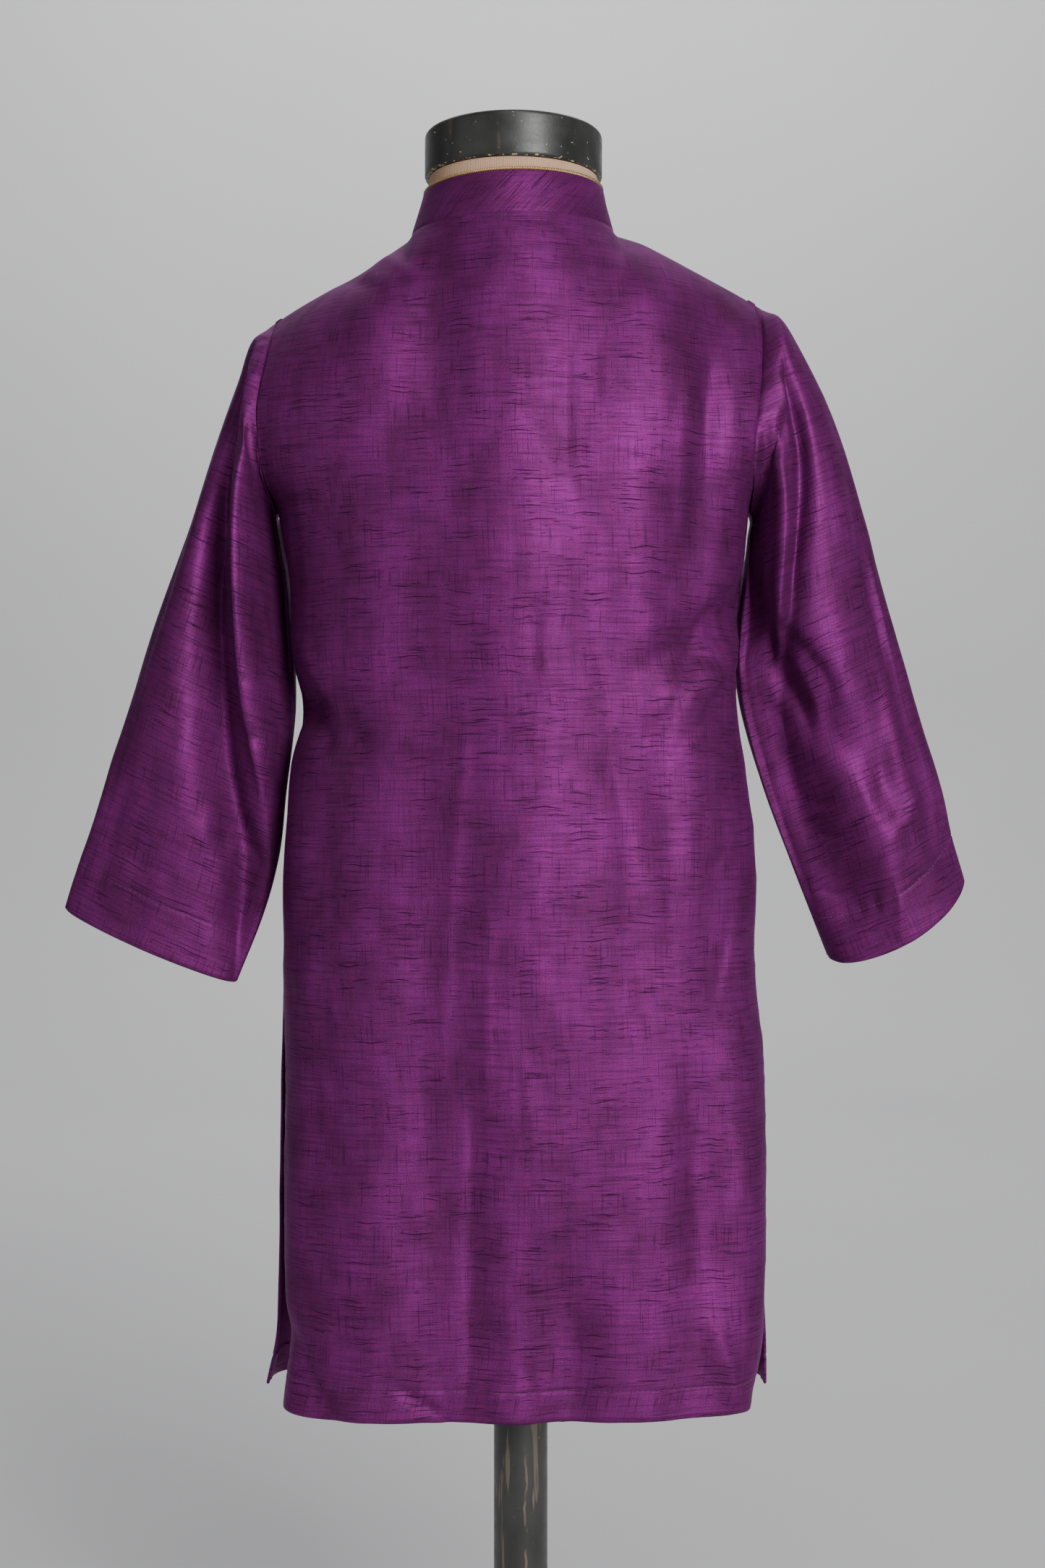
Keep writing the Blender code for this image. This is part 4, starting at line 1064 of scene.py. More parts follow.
def seam_height(side, shares, grid, across, along, upper):
    """How the sewing draws the panel in: along its seams, its hem and the edges of its slits."""
    edge = (1 - np.abs(shares))[None, :] * CHEST_HALF_LENGTH
    edge = np.broadcast_to(edge, grid.shape[:2])
    open_edge = grid[:, :, 2] < SLIT_UP
    seed = 31 if side == "back" else 37
    pucker = ripples(along, 0 * along, (0.0075, 1.0), seed)
    height = np.where(
        open_edge,
        hem_line(np.abs(edge - SLIT_HEM), along, seed + 1) * fade(edge, 0.002),
        -SEAM_DIP * groove(
            edge, 0.0016
        ) + SEAM_PUCKER * pucker * groove(edge, 0.009) * fade(edge, 0.002),
    )
    height = height + hem_line(along - BODY_HEM, across, seed + 2)
    shoulder = np.abs(shares)[None, :] > NECK_SHARE
    top = along[-1][None, :] - along
    height = height - np.where(shoulder & (upper[-1] > 0.999), SEAM_DIP * groove(top, 0.0016), 0)
    return height


def sleeve_points(hand, turns, alongs):
    """The sleeve with its folds and creases, the way it faces and its two lengths on the cloth."""
    sign = -1 if hand == "left" else 1
    behind = turns <= 0.5
    share = np.abs(1 - 2 * turns)
    ring = np.where(
        behind[:, None], armhole("back", hand, share), armhole("front", hand, share)
    )
    rings = [ring] + [sleeve_ring(hand, k, turns) for k in range(len(SLEEVES[hand]["along"]))]
    knots = np.concatenate([[0], SLEEVES[hand]["along"]])
    grid = curve_through(knots, np.array(rings), alongs)
    turn, along = np.meshgrid(turns, alongs)
    names = "along0 turn0 along1 turn1 near_width far_width"
    height = fold_height(SLEEVE_FOLDS[hand], names, along, turn)
    height *= fade(along, SLEEVE_TOP_FADE) * fade(1.02 - along, CUFF_FADE)
    grid = grid + sign * normals_of(grid, closed=True) * height[:, :, None]

    behind_share = fade(np.sin(turn * 2 * math.pi), 0.35)
    side_way = sign * math.sin(SLEEVE_GRAIN)
    weft = (grid - grid[0].mean(0)) @ np.array([side_way, 0.0, -math.cos(SLEEVE_GRAIN)])
    down = lengths_along(grid, 0)
    girth = np.linalg.norm(np.diff(grid, axis=1, append=grid[:, :1]), axis=-1).sum(1)
    signed = np.where(turns <= 0.5, turns, turns - 1)[None, :]
    around = signed * girth[:, None]
    creases = fold_height(SLEEVE_CREASES[hand], names, along, turn, CREASE_TAIL)
    creases *= fade(along, 0.05)
    bent = np.zeros_like(creases)
    for knots in SLEEVE_PATHS[hand]:
        bent += behind_share * bent_crease(knots, grid[:, :, 0], grid[:, :, 2])
    bent *= fade(along, 0.05)
    seed = 41 if hand == "left" else 43
    wrap = 1 - groove(np.abs(turn - 0.5), 0.03)
    creases += 0.0006 * fade(along, 0.06) * wrap * ripples(around, down, (0.020, 0.060), seed)
    creases += 0.0003 * fade(along, 0.06) * wrap * ripples(around, down, (0.009, 0.022), seed + 1)
    from_cuff = down[-1][None, :] - down
    creases += hem_line(from_cuff - SLEEVE_HEM, around, seed + 2) * wrap
    pucker = ripples(around, 0 * around, (0.006, 1.0), seed + 3)
    creases += -SEAM_DIP * groove(down, 0.0016)
    creases += SEAM_PUCKER * pucker * groove(down, 0.010) * fade(down, 0.002) * wrap
    creases += -0.7 * SEAM_DIP * groove((turn - 0.5) * girth[:, None], 0.0013) * fade(down, 0.01)
    grid = grid + sign * normals_of(grid, closed=True) * creases[:, :, None]
    grid[:, :, 0] += ROLL_LEAN[hand] * np.maximum(bent, 0)
    grid[:, :, 1] -= bent
    outward = sign * normals_of(grid, closed=True)
    outward[0] = np.where(
        behind[:, None],
        armhole_normal("back", hand, share),
        armhole_normal("front", hand, share),
    )
    return grid, outward, weft, down, girth


# Meshes.


def mesh_object(name, points, faces, material):
    data = bpy.data.meshes.new(name)
    data.from_pydata([tuple(p) for p in points], [], faces)
    data.materials.append(material)
    data.shade_smooth()
    obj = bpy.data.objects.new(name, data)
    bpy.context.scene.collection.objects.link(obj)
    return obj


def add_weave(obj, corners):
    """Lengths on the flat cloth, in metres, as the mesh's UV map."""
    layer = obj.data.uv_layers.new(name="weave")
    layer.data.foreach_set("uv", np.asarray(corners, np.float32).ravel())


def shell(name, outer, facing, wall, uvs, outward_left, material, closed=False, keep=None):
    """A piece of cloth as two layers and a rounded rim.

    The uvs are two grids of (u, v), for the left and right end of each interval between columns.
    """
    outer = lift(outer)
    inner = outer - facing * np.broadcast_to(np.asarray(wall), outer.shape[:2])[:, :, None]
    rows, columns = outer.shape[:2]
    spans = columns if closed else columns - 1
    j, i = np.meshgrid(np.arange(rows - 1), np.arange(spans), indexing="ij")
    n = (i + 1) % columns
    quads = np.stack(
        [j * columns + i, j * columns + n, (j + 1) * columns + n, (j + 1) * columns + i], -1
    )
    left, right = uvs
    corners = np.stack([left[:-1], right[:-1], right[1:], left[1:]], 2)
    chosen = np.ones((rows - 1, spans), bool) if keep is None else keep
    quads, corners = quads[chosen], corners[chosen]
    if not outward_left:
        quads, corners = quads[:, ::-1], corners[:, ::-1]
    count = rows * columns
    points = np.concatenate([outer.reshape(-1, 3), inner.reshape(-1, 3)])
    faces = [quads, quads[:, ::-1] + count]
    uv = [corners, corners[:, ::-1]]

    # The rim: a third line of points, half way through the cloth and a little beyond its edge.
    starts, ends = quads.ravel(), np.roll(quads, -1, axis=1).ravel()
    keys = set(zip(ends.tolist(), starts.tolist()))
    rim = [k for k, edge in enumerate(zip(starts.tolist(), ends.tolist())) if edge not in keys]
    middle = (points[:count] + points[count:]) / 2
    centres = middle[quads].mean(1)
    beyond = {}
    for k in rim:
        for place in (starts[k], ends[k]):
            beyond.setdefault(int(place), []).append(middle[place] - centres[k // 4])
    third, extra = {}, []
    for place, ways in beyond.items():
        way = np.mean(ways, axis=0)
        across = points[place] - points[place + count]
        across = across / np.linalg.norm(across)
        way = way - across * (way @ across)
        half = np.linalg.norm(points[place] - middle[place])
        third[place] = 2 * count + len(extra)
        extra.append(middle[place] + way / max(np.linalg.norm(way), 1e-9) * half * 0.8)
    flat_uv = corners.reshape(-1, 2)
    rim_faces, rim_uv = [], []
    for k in rim:
        a, b = int(starts[k]), int(ends[k])
        quad, step = divmod(k, 4)
        pair = (flat_uv[k], flat_uv[quad * 4 + (step + 1) % 4])
        rim_faces += [(b, a, third[a], third[b]), (third[b], third[a], a + count, b + count)]
        rim_uv += [(pair[1], pair[0], pair[0], pair[1])] * 2
    points = np.concatenate([points, np.array(extra)]) if extra else points
    if rim_faces:
        faces.append(np.array(rim_faces))
        uv.append(np.array(rim_uv))
    faces, uv = np.concatenate(faces), np.concatenate(uv)
    used, faces = np.unique(faces, return_inverse=True)
    faces = faces.reshape(-1, 4)
    obj = mesh_object(name, points[used], faces.tolist(), material)
    add_weave(obj, uv)
    return obj


def sides_of(u, v):
    """The uvs of an open grid, as the left and right end of each interval."""
    both = np.stack([u, v], -1)
    return both[:, :-1], both[:, 1:]


def tube(line, radius, sides):
    """A round thread or cord along a line of points."""
    line = np.asarray(line, float)
    ahead = np.gradient(line, axis=0)
    ahead /= length_of(ahead)
    up = np.array([0.31, 0.17, 0.93])
    first = np.cross(ahead, up)
    first /= length_of(first)
    second = np.cross(ahead, first)
    angle = np.arange(sides) / sides * 2 * math.pi
    ring = np.cos(angle)[None, :, None] * first[:, None] + np.sin(angle)[
        None, :, None
    ] * second[:, None]
    radius = np.broadcast_to(np.asarray(radius, float), (len(line),))
    points = (line[:, None] + ring * radius[:, None, None]).reshape(-1, 3)
    faces = [
        (
            j * sides + i, (j + 1) * sides + i, (j + 1) * sides + (i + 1) % sides, j * sides + (i + 1) % sides
        )
        for j in range(len(line) - 1)
        for i in range(sides)
    ]
    faces += [tuple(range(sides)), tuple(reversed(range(len(points) - sides, len(points))))]
    return points, faces


def joined(name, pieces, material):
    """Several sets of points and faces as one object."""
    points, faces, start = [], [], 0
    for some, their in pieces:
        points.append(some)
        faces += [tuple(start + k for k in face) for face in their]
        start += len(some)
    return mesh_object(name, np.concatenate(points), faces, material)


def turned(name, profile, material, segments, place):
    """A turned solid from a profile of (radius, height), closed on the axis, with its lengths as uvs."""
    profile = np.array(profile, float)
    angle = np.arange(segments) / segments * 2 * math.pi
    ring = np.stack([np.cos(angle), np.sin(angle)], -1)
    points = []
    for radius, height in profile[1:-1]:
        points += [
            (radius * c + place[0], radius * s + place[1], height + place[2]) for c, s in ring
        ]
    foot, head = len(points), len(points) + 1
    points += [
        (place[0], place[1], profile[0][1] + place[2]), (
            place[0], place[1], profile[-1][1] + place[2]
        )
    ]
    run = np.concatenate([[0], np.cumsum(np.hypot(*np.diff(profile, axis=0).T))])
    faces, uv = [], []
    widest = profile[:, 0].max()
    turn = np.arange(segments + 1) / segments * 2 * math.pi * widest
    last = len(profile) - 3
    for i in range(segments):
        n = (i + 1) % segments
        faces.append((foot, n, i))
        uv += [(turn[i], run[0]), (turn[i + 1], run[1]), (turn[i], run[1])]
        for j in range(last):
            faces.append(
                (j * segments + i, j * segments + n, (j + 1) * segments + n, (j + 1) * segments + i)
            )
            uv += [
                (turn[i], run[j + 1]), (turn[i + 1], run[j + 1]), (
                    turn[i + 1], run[j + 2]
                ), (turn[i], run[j + 2])
            ]
        faces.append((last * segments + i, last * segments + n, head))
        uv += [(turn[i], run[-2]), (turn[i + 1], run[-2]), (turn[i], run[-1])]
    obj = mesh_object(name, points, faces, material)
    obj.data.set_sharp_from_angle(angle=math.radians(50))
    add_weave(obj, uv)
    return obj


def level_line(grid, facing, lengths, level):
    """Where lengths that grow along the columns of a grid reach a level, and the way the cloth faces."""
    columns = range(grid.shape[1])
    parts = [some[:, :, k] for some in (grid, facing) for k in range(3)]
    return np.array(
        [[np.interp(level, lengths[:, i], part[:, i]) for part in parts] for i in columns]
    )


def stitches(line):
    """Short threads in a row along a line, each sunk in the cloth at both ends."""
    run = lengths_along(line[:, None, :3], 0)[:, 0]
    pieces = []
    for start in np.arange(STITCH_PITCH / 2, run[-1] - STITCH_PITCH, STITCH_PITCH):
        at = start + STITCH_LENGTH * STITCH_STEPS
        spots = np.stack([np.interp(at, run, line[:, k]) for k in range(6)], -1)
        middle = spots[:, :3] + spots[:, 3:] * (THREAD_RADIUS * STITCH_RISE)[:, None]
        pieces.append(tube(lift(middle), THREAD_RADIUS, 6))
    return pieces


# Materials.


class Shader:
    """A node material, with a short way to add and join its nodes."""

    def __init__(self, name):
        self.material = bpy.data.materials.new(name)
        self.material.use_nodes = True
        self.tree = self.material.node_tree
        self.principled = self.tree.nodes["Principled BSDF"]

    def add(self, kind, inputs=(), output=0, **settings):
        node = self.tree.nodes.new("ShaderNode" + kind)
        for key, value in settings.items():
            setattr(node, key, value)
        for key, value in dict(inputs).items():
            self.put(node.inputs[key], value)
        return node.outputs[output]

    def put(self, socket, value):
        if isinstance(value, bpy.types.NodeSocket):
            self.tree.links.new(value, socket)
        else:
            socket.default_value = value

    def set(self, **inputs):
        for key, value in inputs.items():
            self.put(self.principled.inputs[key.replace("_", " ")], value)

    def uv(self, across, along, across_by=0.0, along_by=0.0):
        """The cloth's own lengths, scaled to cells of a texture."""
        place = self.add("UVMap", uv_map="weave")
        return self.add(
            "Mapping",
            {
                "Vector": place, "Scale": (across, along, 1.0), "Location": (
                    across_by, along_by, 0.0
                )
            },
        )

    def noise(self, vector, detail=2.0, roughness=0.5, distortion=0.0, dimensions="2D"):
        return self.add(
            "TexNoise",
            {
                "Vector": vector, "Scale": 1.0, "Detail": detail, "Roughness": roughness, "Distortion": distortion
            },
            noise_dimensions=dimensions,
        )

    def ramp(self, value, low, high, start=0.0, end=1.0):
        return self.add(
            "MapRange",
            {"Value": value, "From Min": low, "From Max": high, "To Min": start, "To Max": end},
        )

    def math(self, operation, a, b):
        return self.add("Math", {0: a, 1: b}, operation=operation)

    def mix(self, factor, a, b, blend="MIX"):
        node = self.tree.nodes.new("ShaderNodeMix")
        node.data_type = "RGBA"
        node.blend_type = blend
        self.put(node.inputs["Factor"], factor)
        self.put(node.inputs["A"], a)
        self.put(node.inputs["B"], b)
        return node.outputs["Result"]

    def bump(self, height, distance, strength=1.0):
        return self.add("Bump", {"Height": height, "Distance": distance, "Strength": strength})


def slub_lines(silk, cell, reach, thick, share, seed):
    """Thin spindles along the weft: one for some of the cells, each of its own length and place."""
    wander = silk.noise(silk.uv(55, 30, seed, 2.0), detail=1.0)
    place = silk.uv(1 / cell[0], 1 / cell[1], seed, seed * 0.7)
    bent = silk.add(
        "VectorMath", {0: silk.add("CombineXYZ", {"Y": wander}), "Scale": 0.9}, operation="SCALE"
    )
    place = silk.add("VectorMath", {0: place, 1: bent}, operation="ADD")
    voronoi = silk.add(
        "TexVoronoi", {"Vector": place, "Scale": 1.0}, output=1, voronoi_dimensions="2D"
    )
    centre = voronoi.node.outputs["Position"]
    away = silk.add("VectorMath", {0: place, 1: centre}, operation="SUBTRACT")
    x = silk.add("SeparateXYZ", {"Vector": away}, output=0)
    y = silk.add("SeparateXYZ", {"Vector": away}, output=1)
    chance = silk.add("SeparateColor", {"Color": voronoi}, output=0)
    size = silk.ramp(
        silk.add("SeparateColor", {"Color": voronoi}, output=1), 0, 1, 0.35 * reach, reach
    )
    x = silk.math("DIVIDE", x, size)
    y = silk.math("DIVIDE", silk.math("ABSOLUTE", y, 0.0), thick / cell[1])
    near = silk.math("ADD", silk.math("MULTIPLY", x, x), y)
    line = silk.ramp(near, 0.55, 1.0, 1.0, 0.0)
    return silk.math("MULTIPLY", line, silk.math("LESS_THAN", chance, share))


def silk_material():
    """Slubbed raw silk: painted sheen and shade in broad random patches, magenta warp, violet weft, fine grain
    and thin dark slubs along the weft.
    """
    silk = Shader("raw_silk")
    grain = silk.noise(silk.uv(1500, 1900), detail=2.0, roughness=0.8)
    painted_sheen_mottle = silk.noise(silk.uv(34, 22), detail=3.0, roughness=0.6)
    warp = silk.noise(silk.uv(330, 14), detail=3.0, roughness=0.65)
    weft = silk.noise(silk.uv(26, 760), detail=3.0, roughness=0.65)
    blotch = silk.noise(silk.uv(120, 90, 3.0, 5.0), detail=3.0, roughness=0.7)

    # Painted sheen and shade: broad random patches between the silk's shaded and lit colours.
    base = silk.mix(silk.ramp(painted_sheen_mottle, 0.30, 0.70, 0.25, 0.95), SILK_PAINTED_SHADE, SILK_BRIGHT)
    base = silk.mix(silk.ramp(warp, 0.40, 0.75, 0.0, 0.3), base, SILK_VIOLET)
    base = silk.mix(silk.ramp(blotch, 0.55, 0.75, 0.0, 0.35), base, SILK_ROSE)
    base = silk.mix(silk.ramp(weft, 0.45, 0.68, 0.0, 0.42), base, SILK_DARK)

    cluster = silk.ramp(silk.noise(silk.uv(30, 45, 1.7, 9.1), detail=1.0), 0.34, 0.56, 0.15, 1.0)
    long_slub = slub_lines(silk, (0.034, 0.0048), 0.42, 0.00034, 0.48, 3.0)
    thin_slub = slub_lines(silk, (0.020, 0.0024), 0.40, 0.00021, 0.42, 11.0)
    short_slub = slub_lines(silk, (0.008, 0.0029), 0.38, 0.00030, 0.24, 19.0)
    slubs = silk.math("MAXIMUM", long_slub, silk.math("MULTIPLY", thin_slub, 0.75))
    slubs = silk.math("MAXIMUM", slubs, silk.math("MULTIPLY", short_slub, 0.7))
    slubs = silk.math("MULTIPLY", slubs, cluster)
    warp_slub = silk.noise(silk.uv(1100, 42, 5.0, 1.0), detail=0.0)
    warp_slub = silk.ramp(warp_slub, 0.72, 0.82, 0.0, 0.35)
    base = silk.mix(silk.math("MULTIPLY", slubs, 0.72), base, SILK_SLUB)
    base = silk.mix(warp_slub, base, SILK_SLUB)
    speck = silk.ramp(grain, 0.28, 0.72, 0.60, 1.40)
    speck = silk.add("CombineColor", {"Red": speck, "Green": speck, "Blue": speck})
    base = silk.mix(1.0, base, speck, "MULTIPLY")

    height = silk.math("ADD", silk.math("MULTIPLY", slubs, 1.6), silk.math("MULTIPLY", grain, 0.8))
    height = silk.math("ADD", height, silk.math("MULTIPLY", weft, 1.1))
    height = silk.math("ADD", height, silk.math("MULTIPLY", warp, 0.9))
    rough = silk.ramp(
        silk.math("ADD", grain, silk.math("MULTIPLY", weft, 0.6)), 0.4, 1.2, 0.38, 0.54
    )
    silk.set(
        Base_Color=base,
        Roughness=rough,
        Metallic=0.45,
        Specular_IOR_Level=0.2,
        Specular_Tint=SILK_SHINE,
        Sheen_Weight=0.06,
        Sheen_Roughness=0.4,
        Sheen_Tint=SILK_SHINE,
        Normal=silk.bump(height, 0.00016, 0.9),
    )
    return silk.material


def thread_material():
    thread = Shader("silk_thread")
    fibre = thread.noise(thread.add("TexCoord", output=3), detail=3.0, dimensions="3D")
    thread.set(
        Base_Color=thread.mix(thread.ramp(fibre, 0.3, 0.7), SILK_DARK, SILK_BRIGHT),
        Roughness=0.45,
        Sheen_Weight=0.3,
        Normal=thread.bump(fibre, 0.0001),
    )
    return thread.material


def gold_material():
    """Metallic gold thread: fine bright and dark fibres along each strand."""
    gold = Shader("gold_cord")
    place = gold.add("TexCoord", output=3)
    fine = gold.add("Mapping", {"Vector": place, "Scale": (3200.0, 3200.0, 3200.0)})
    fibre = gold.noise(fine, detail=2.0, dimensions="3D")
    tint = gold.mix(gold.ramp(fibre, 0.3, 0.7), colour(150, 112, 62), colour(226, 196, 140))
    gold.set(
        Base_Color=tint,
        Metallic=0.75,
        Roughness=gold.ramp(fibre, 0.3, 0.7, 0.5, 0.28),
        Normal=gold.bump(fibre, 0.00008),
    )
    return gold.material


def jersey_material():
    """Fine ribbed jersey: upright ribs a millimetre apart, with small knit loops along each."""
    jersey = Shader("ribbed_jersey")
    loops = jersey.uv(1.0, 1.0)
    ribs = jersey.add(
        "TexWave", {
            "Vector": loops, "Scale": RIB_SCALE, "Distortion": 0.4, "Detail": 1.0, "Detail Scale": 60.0
        },
        output=1, wave_type="BANDS", bands_direction="X",
    )
    rows = jersey.add(
        "TexWave", {"Vector": loops, "Scale": RIB_SCALE * 1.3, "Distortion": 0.6}, output=1,
        wave_type="BANDS", bands_direction="Y",
    )
    wear = jersey.noise(jersey.uv(30, 22), detail=3.0)
    knit = jersey.math("ADD", ribs, jersey.math("MULTIPLY", rows, 0.35))
    base = jersey.mix(jersey.ramp(knit, 0.1, 1.2), colour(186, 146, 118), colour(218, 180, 150))
    base = jersey.mix(jersey.ramp(wear, 0.45, 0.75, 0.0, 0.4), base, colour(190, 140, 104))
    jersey.set(
        Base_Color=base,
        Roughness=0.85,
        Sheen_Weight=0.3,
        Normal=jersey.bump(knit, 0.0003, 0.8),
    )
    return jersey.material


def painted_material(name, length, edge, bare, scratches, streak=None):
    """Black paint over wood or steel, chipped to the bare material near both rims of the profile.

    The rims are at uv lengths edge and length - edge; scratches is how much is worn in between.
    A streak is one long upright scratch: its uv length around, and the uv lengths of its two ends.
    """
    paint = Shader(name)
    place = paint.add("SeparateXYZ", {"Vector": paint.uv(1.0, 1.0)}, output=1)
    fine = paint.noise(paint.uv(700, 700), detail=4.0, roughness=0.6)
    chips = paint.noise(paint.uv(210, 320, 3.0, 1.0), detail=3.0, roughness=0.7)
    low = paint.math("ABSOLUTE", paint.math("SUBTRACT", place, edge), 0.0)
    high = paint.math("ABSOLUTE", paint.math("SUBTRACT", place, length - edge), 0.0)
    near = paint.ramp(paint.math("MINIMUM", low, high), 0.0, 0.0018, 0.18, 0.0)
    chipped = paint.ramp(paint.math("ADD", chips, near), 0.72, 0.75)
    streaks = paint.noise(paint.uv(95, 11, 6.3, 2.2), detail=3.0, roughness=0.55, distortion=0.3)
    worn = paint.ramp(
        streaks, 0.66 - 0.06 * scratches, 0.70 - 0.06 * scratches, 0.0, 0.8 * scratches
    )
    tone = paint.noise(paint.uv(40, 18), detail=3.0)
    base = paint.mix(paint.ramp(tone, 0.3, 0.7), colour(38, 38, 37), colour(58, 58, 56))
    if streak:
        around, foot, head = streak
        across = paint.add("SeparateXYZ", {"Vector": paint.uv(1.0, 1.0)})
        wander = paint.math("MULTIPLY", paint.noise(paint.uv(0.0, 55), detail=2.0), 0.005)
        off = paint.math(
            "ABSOLUTE", paint.math("SUBTRACT", paint.math("ADD", across, wander), around), 0.0
        )
        thin = paint.ramp(off, 0.0003, 0.0009, 0.9, 0.0)
        ends = paint.math(
            "MULTIPLY", paint.ramp(place, foot, foot + 0.02), paint.ramp(
                place, head - 0.02, head, 1.0, 0.0
            )
        )
        broken = paint.ramp(paint.noise(paint.uv(260, 45), detail=3.0), 0.36, 0.48)
        thin = paint.math("MULTIPLY", paint.math("MULTIPLY", thin, ends), broken)
        worn = paint.math("MAXIMUM", worn, thin)
    base = paint.mix(worn, base, colour(112, 98, 84))
    base = paint.mix(chipped, base, bare)
    height = paint.math("SUBTRACT", paint.math("MULTIPLY", fine, 0.35), chipped)
    height = paint.math("SUBTRACT", height, paint.math("MULTIPLY", worn, 0.5))
    smear = paint.noise(paint.uv(60, 120, 2.0, 7.0), detail=4.0, roughness=0.7)
    rough = paint.math(
        "ADD", paint.ramp(smear, 0.3, 0.7, 0.30, 0.44), paint.math("MULTIPLY", chipped, 0.4)
    )
    paint.set(Base_Color=base, Roughness=rough, Normal=paint.bump(height, 0.00018, 0.8))
    return paint.material


def button_material():
    button = Shader("dyed_button")
    swirl = button.noise(button.uv(420, 420), detail=4.0, distortion=1.2)
    button.set(
        Base_Color=button.mix(
            button.ramp(swirl, 0.3, 0.7), colour(70, 22, 70), colour(112, 44, 110)
        ),
        Roughness=button.ramp(swirl, 0.3, 0.7, 0.18, 0.30),
        Coat_Weight=0.3,
        Normal=button.bump(swirl, 0.00005, 0.5),
    )
    return button.material


def room_material():
    room = Shader("plain_backdrop")
    place = room.add("TexCoord", output=3)
    cloud = room.noise(place, detail=3.0, dimensions="3D")
    room.set(
        Base_Color=room.mix(
            room.ramp(cloud, 0.35, 0.65), colour(218, 218, 220), colour(222, 222, 223)
        ),
        Roughness=0.9,
    )
    return room.material


# The pieces.


def graded(low, high, count, marks=(), reach=0.01, extra=15):
    """Places from low to high, closer together about each mark."""
    places = [np.linspace(low, high, count)]
    for mark in marks:
        near = mark + reach * np.linspace(-1, 1, extra) ** 3
        places.append(near[(near > low) & (near < high)])
    merged = np.unique(np.concatenate(places))
    step = (high - low) / count * 0.12
    kept = [merged[0]]
    for place in merged[1:-1]:
        if place - kept[-1] > step and high - place > step:
            kept.append(place)
    return np.array(kept + [high])


def placket_share():
    return PLACKET_HALF_WIDTH / CHEST_HALF_LENGTH


def panel_shares():
    """Columns from side to side, closer at the seams and with one on each edge of the opening."""
    inner = placket_share()
    half = graded(inner, 1, 76, (1 - SLIT_HEM / CHEST_HALF_LENGTH, 1.0), 0.05)
    middle = np.linspace(0, inner, 7)[1:-1]
    half = np.concatenate([middle, half])
    return np.concatenate([-half[::-1], [0.0], half])


def fine_skirt_ups():
    return graded(0, ARMPIT_UP, 180, (BODY_HEM,), 0.010, 13)


def fine_yoke_shares(top=1.0):
    rows = np.arange(1, 71) / 70
    return np.sin(rows * math.pi / 2) * top


def finish_piece(obj, slot, *nodes):
    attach(obj, "root")
    if nodes:
        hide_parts(*nodes)
    return obj


def wall_of(grid, hem, edge=None):
    """The cloth's thickness: two layers where a hem or a slit's edge is turned in."""
    wall = np.full(grid.shape[:2], CLOTH)
    wall += 0.0007 * fade(hem + 0.0006 - grid, 0.0012)
    if edge is not None:
        wall = np.maximum(wall, CLOTH + 0.0007 * fade(SLIT_HEM + 0.0006 - edge, 0.0012))
    return wall


def panel_stitches(grid, facing, shares, along):
    """The rows of stitches along the hem and up both slits of a panel."""
    turned_in = 1 - SLIT_HEM / CHEST_HALF_LENGTH
    inner = np.abs(shares) < turned_in
    low = (grid[:, 0, 2] < SLIT_UP) & (along[:, 0] > BODY_HEM)
    sideways = np.repeat(shares[:, None], low.sum(), axis=1)
    pieces = stitches(level_line(grid[:, inner], facing[:, inner], along[:, inner], BODY_HEM))
    for level in (-turned_in, turned_in):
        line = level_line(grid[low].swapaxes(0, 1), facing[low].swapaxes(0, 1), sideways, level)
        pieces += stitches(line)
    return pieces


def make_panels(silk, thread):
    pieces = {}
    for side in ("back", "front"):
        shares = panel_shares()
        grid, facing, weave, along = panel_points(
            side, shares, fine_skirt_ups(), fine_yoke_shares()
        )
        keep = np.ones((grid.shape[0] - 1, grid.shape[1] - 1), bool)
        if side == "front":
            inner = np.abs(shares[:-1] + shares[1:]) / 2 < placket_share()
            upper = np.arange(len(keep)) >= len(fine_skirt_ups()) - 1
            keep[np.ix_(upper, inner)] = False
        edge = np.where(
            grid[:, :, 2] < SLIT_UP, (1 - np.abs(shares)[None, :]) * CHEST_HALF_LENGTH, 1.0
        )
        pieces[side] = shell(
            side + "_cloth", grid, facing, wall_of(along, BODY_HEM, edge), sides_of(*weave),
            side == "back", silk, keep=keep,
        )
        finish_piece(pieces[side], "silk", side + "_panel")
        sewn = joined(side + "_stitches", panel_stitches(grid, facing, shares, along), thread)
        finish_piece(sewn, "silk")
    return pieces


def make_placket(silk):
    """The under strip fills the opening, and the upper strip lies over it."""
    edge = placket_share()
    yokes = fine_yoke_shares(STRIP_END_SHARE)
    made = []
    reach = edge - PLACKET_UNDER_GAP / CHEST_HALF_LENGTH
    under = np.linspace(-reach, reach, 13)
    grid, facing, weave, _ = panel_points("front", under, np.array([ARMPIT_UP + 0.0004]), yokes)
    obj = shell("placket_inside", grid, facing, CLOTH, sides_of(*weave), False, silk)
    made.append(finish_piece(obj, "silk", "placket_under"))
    over = np.linspace(-edge - PLACKET_OVERLAP, edge + PLACKET_OVERLAP, 27)
    rows = np.linspace(ARMPIT_UP - PLACKET_TAIL, ARMPIT_UP, 9)
    grid, facing, (across, weft), _ = panel_points("front", over, rows, yokes)
    grid = grid + facing * (CLOTH + CLEARANCE)
    obj = shell("placket_outside", grid, facing, CLOTH, sides_of(weft, across), False, silk)
    made.append(finish_piece(obj, "silk", "placket_upper"))
    return made, (grid, facing)


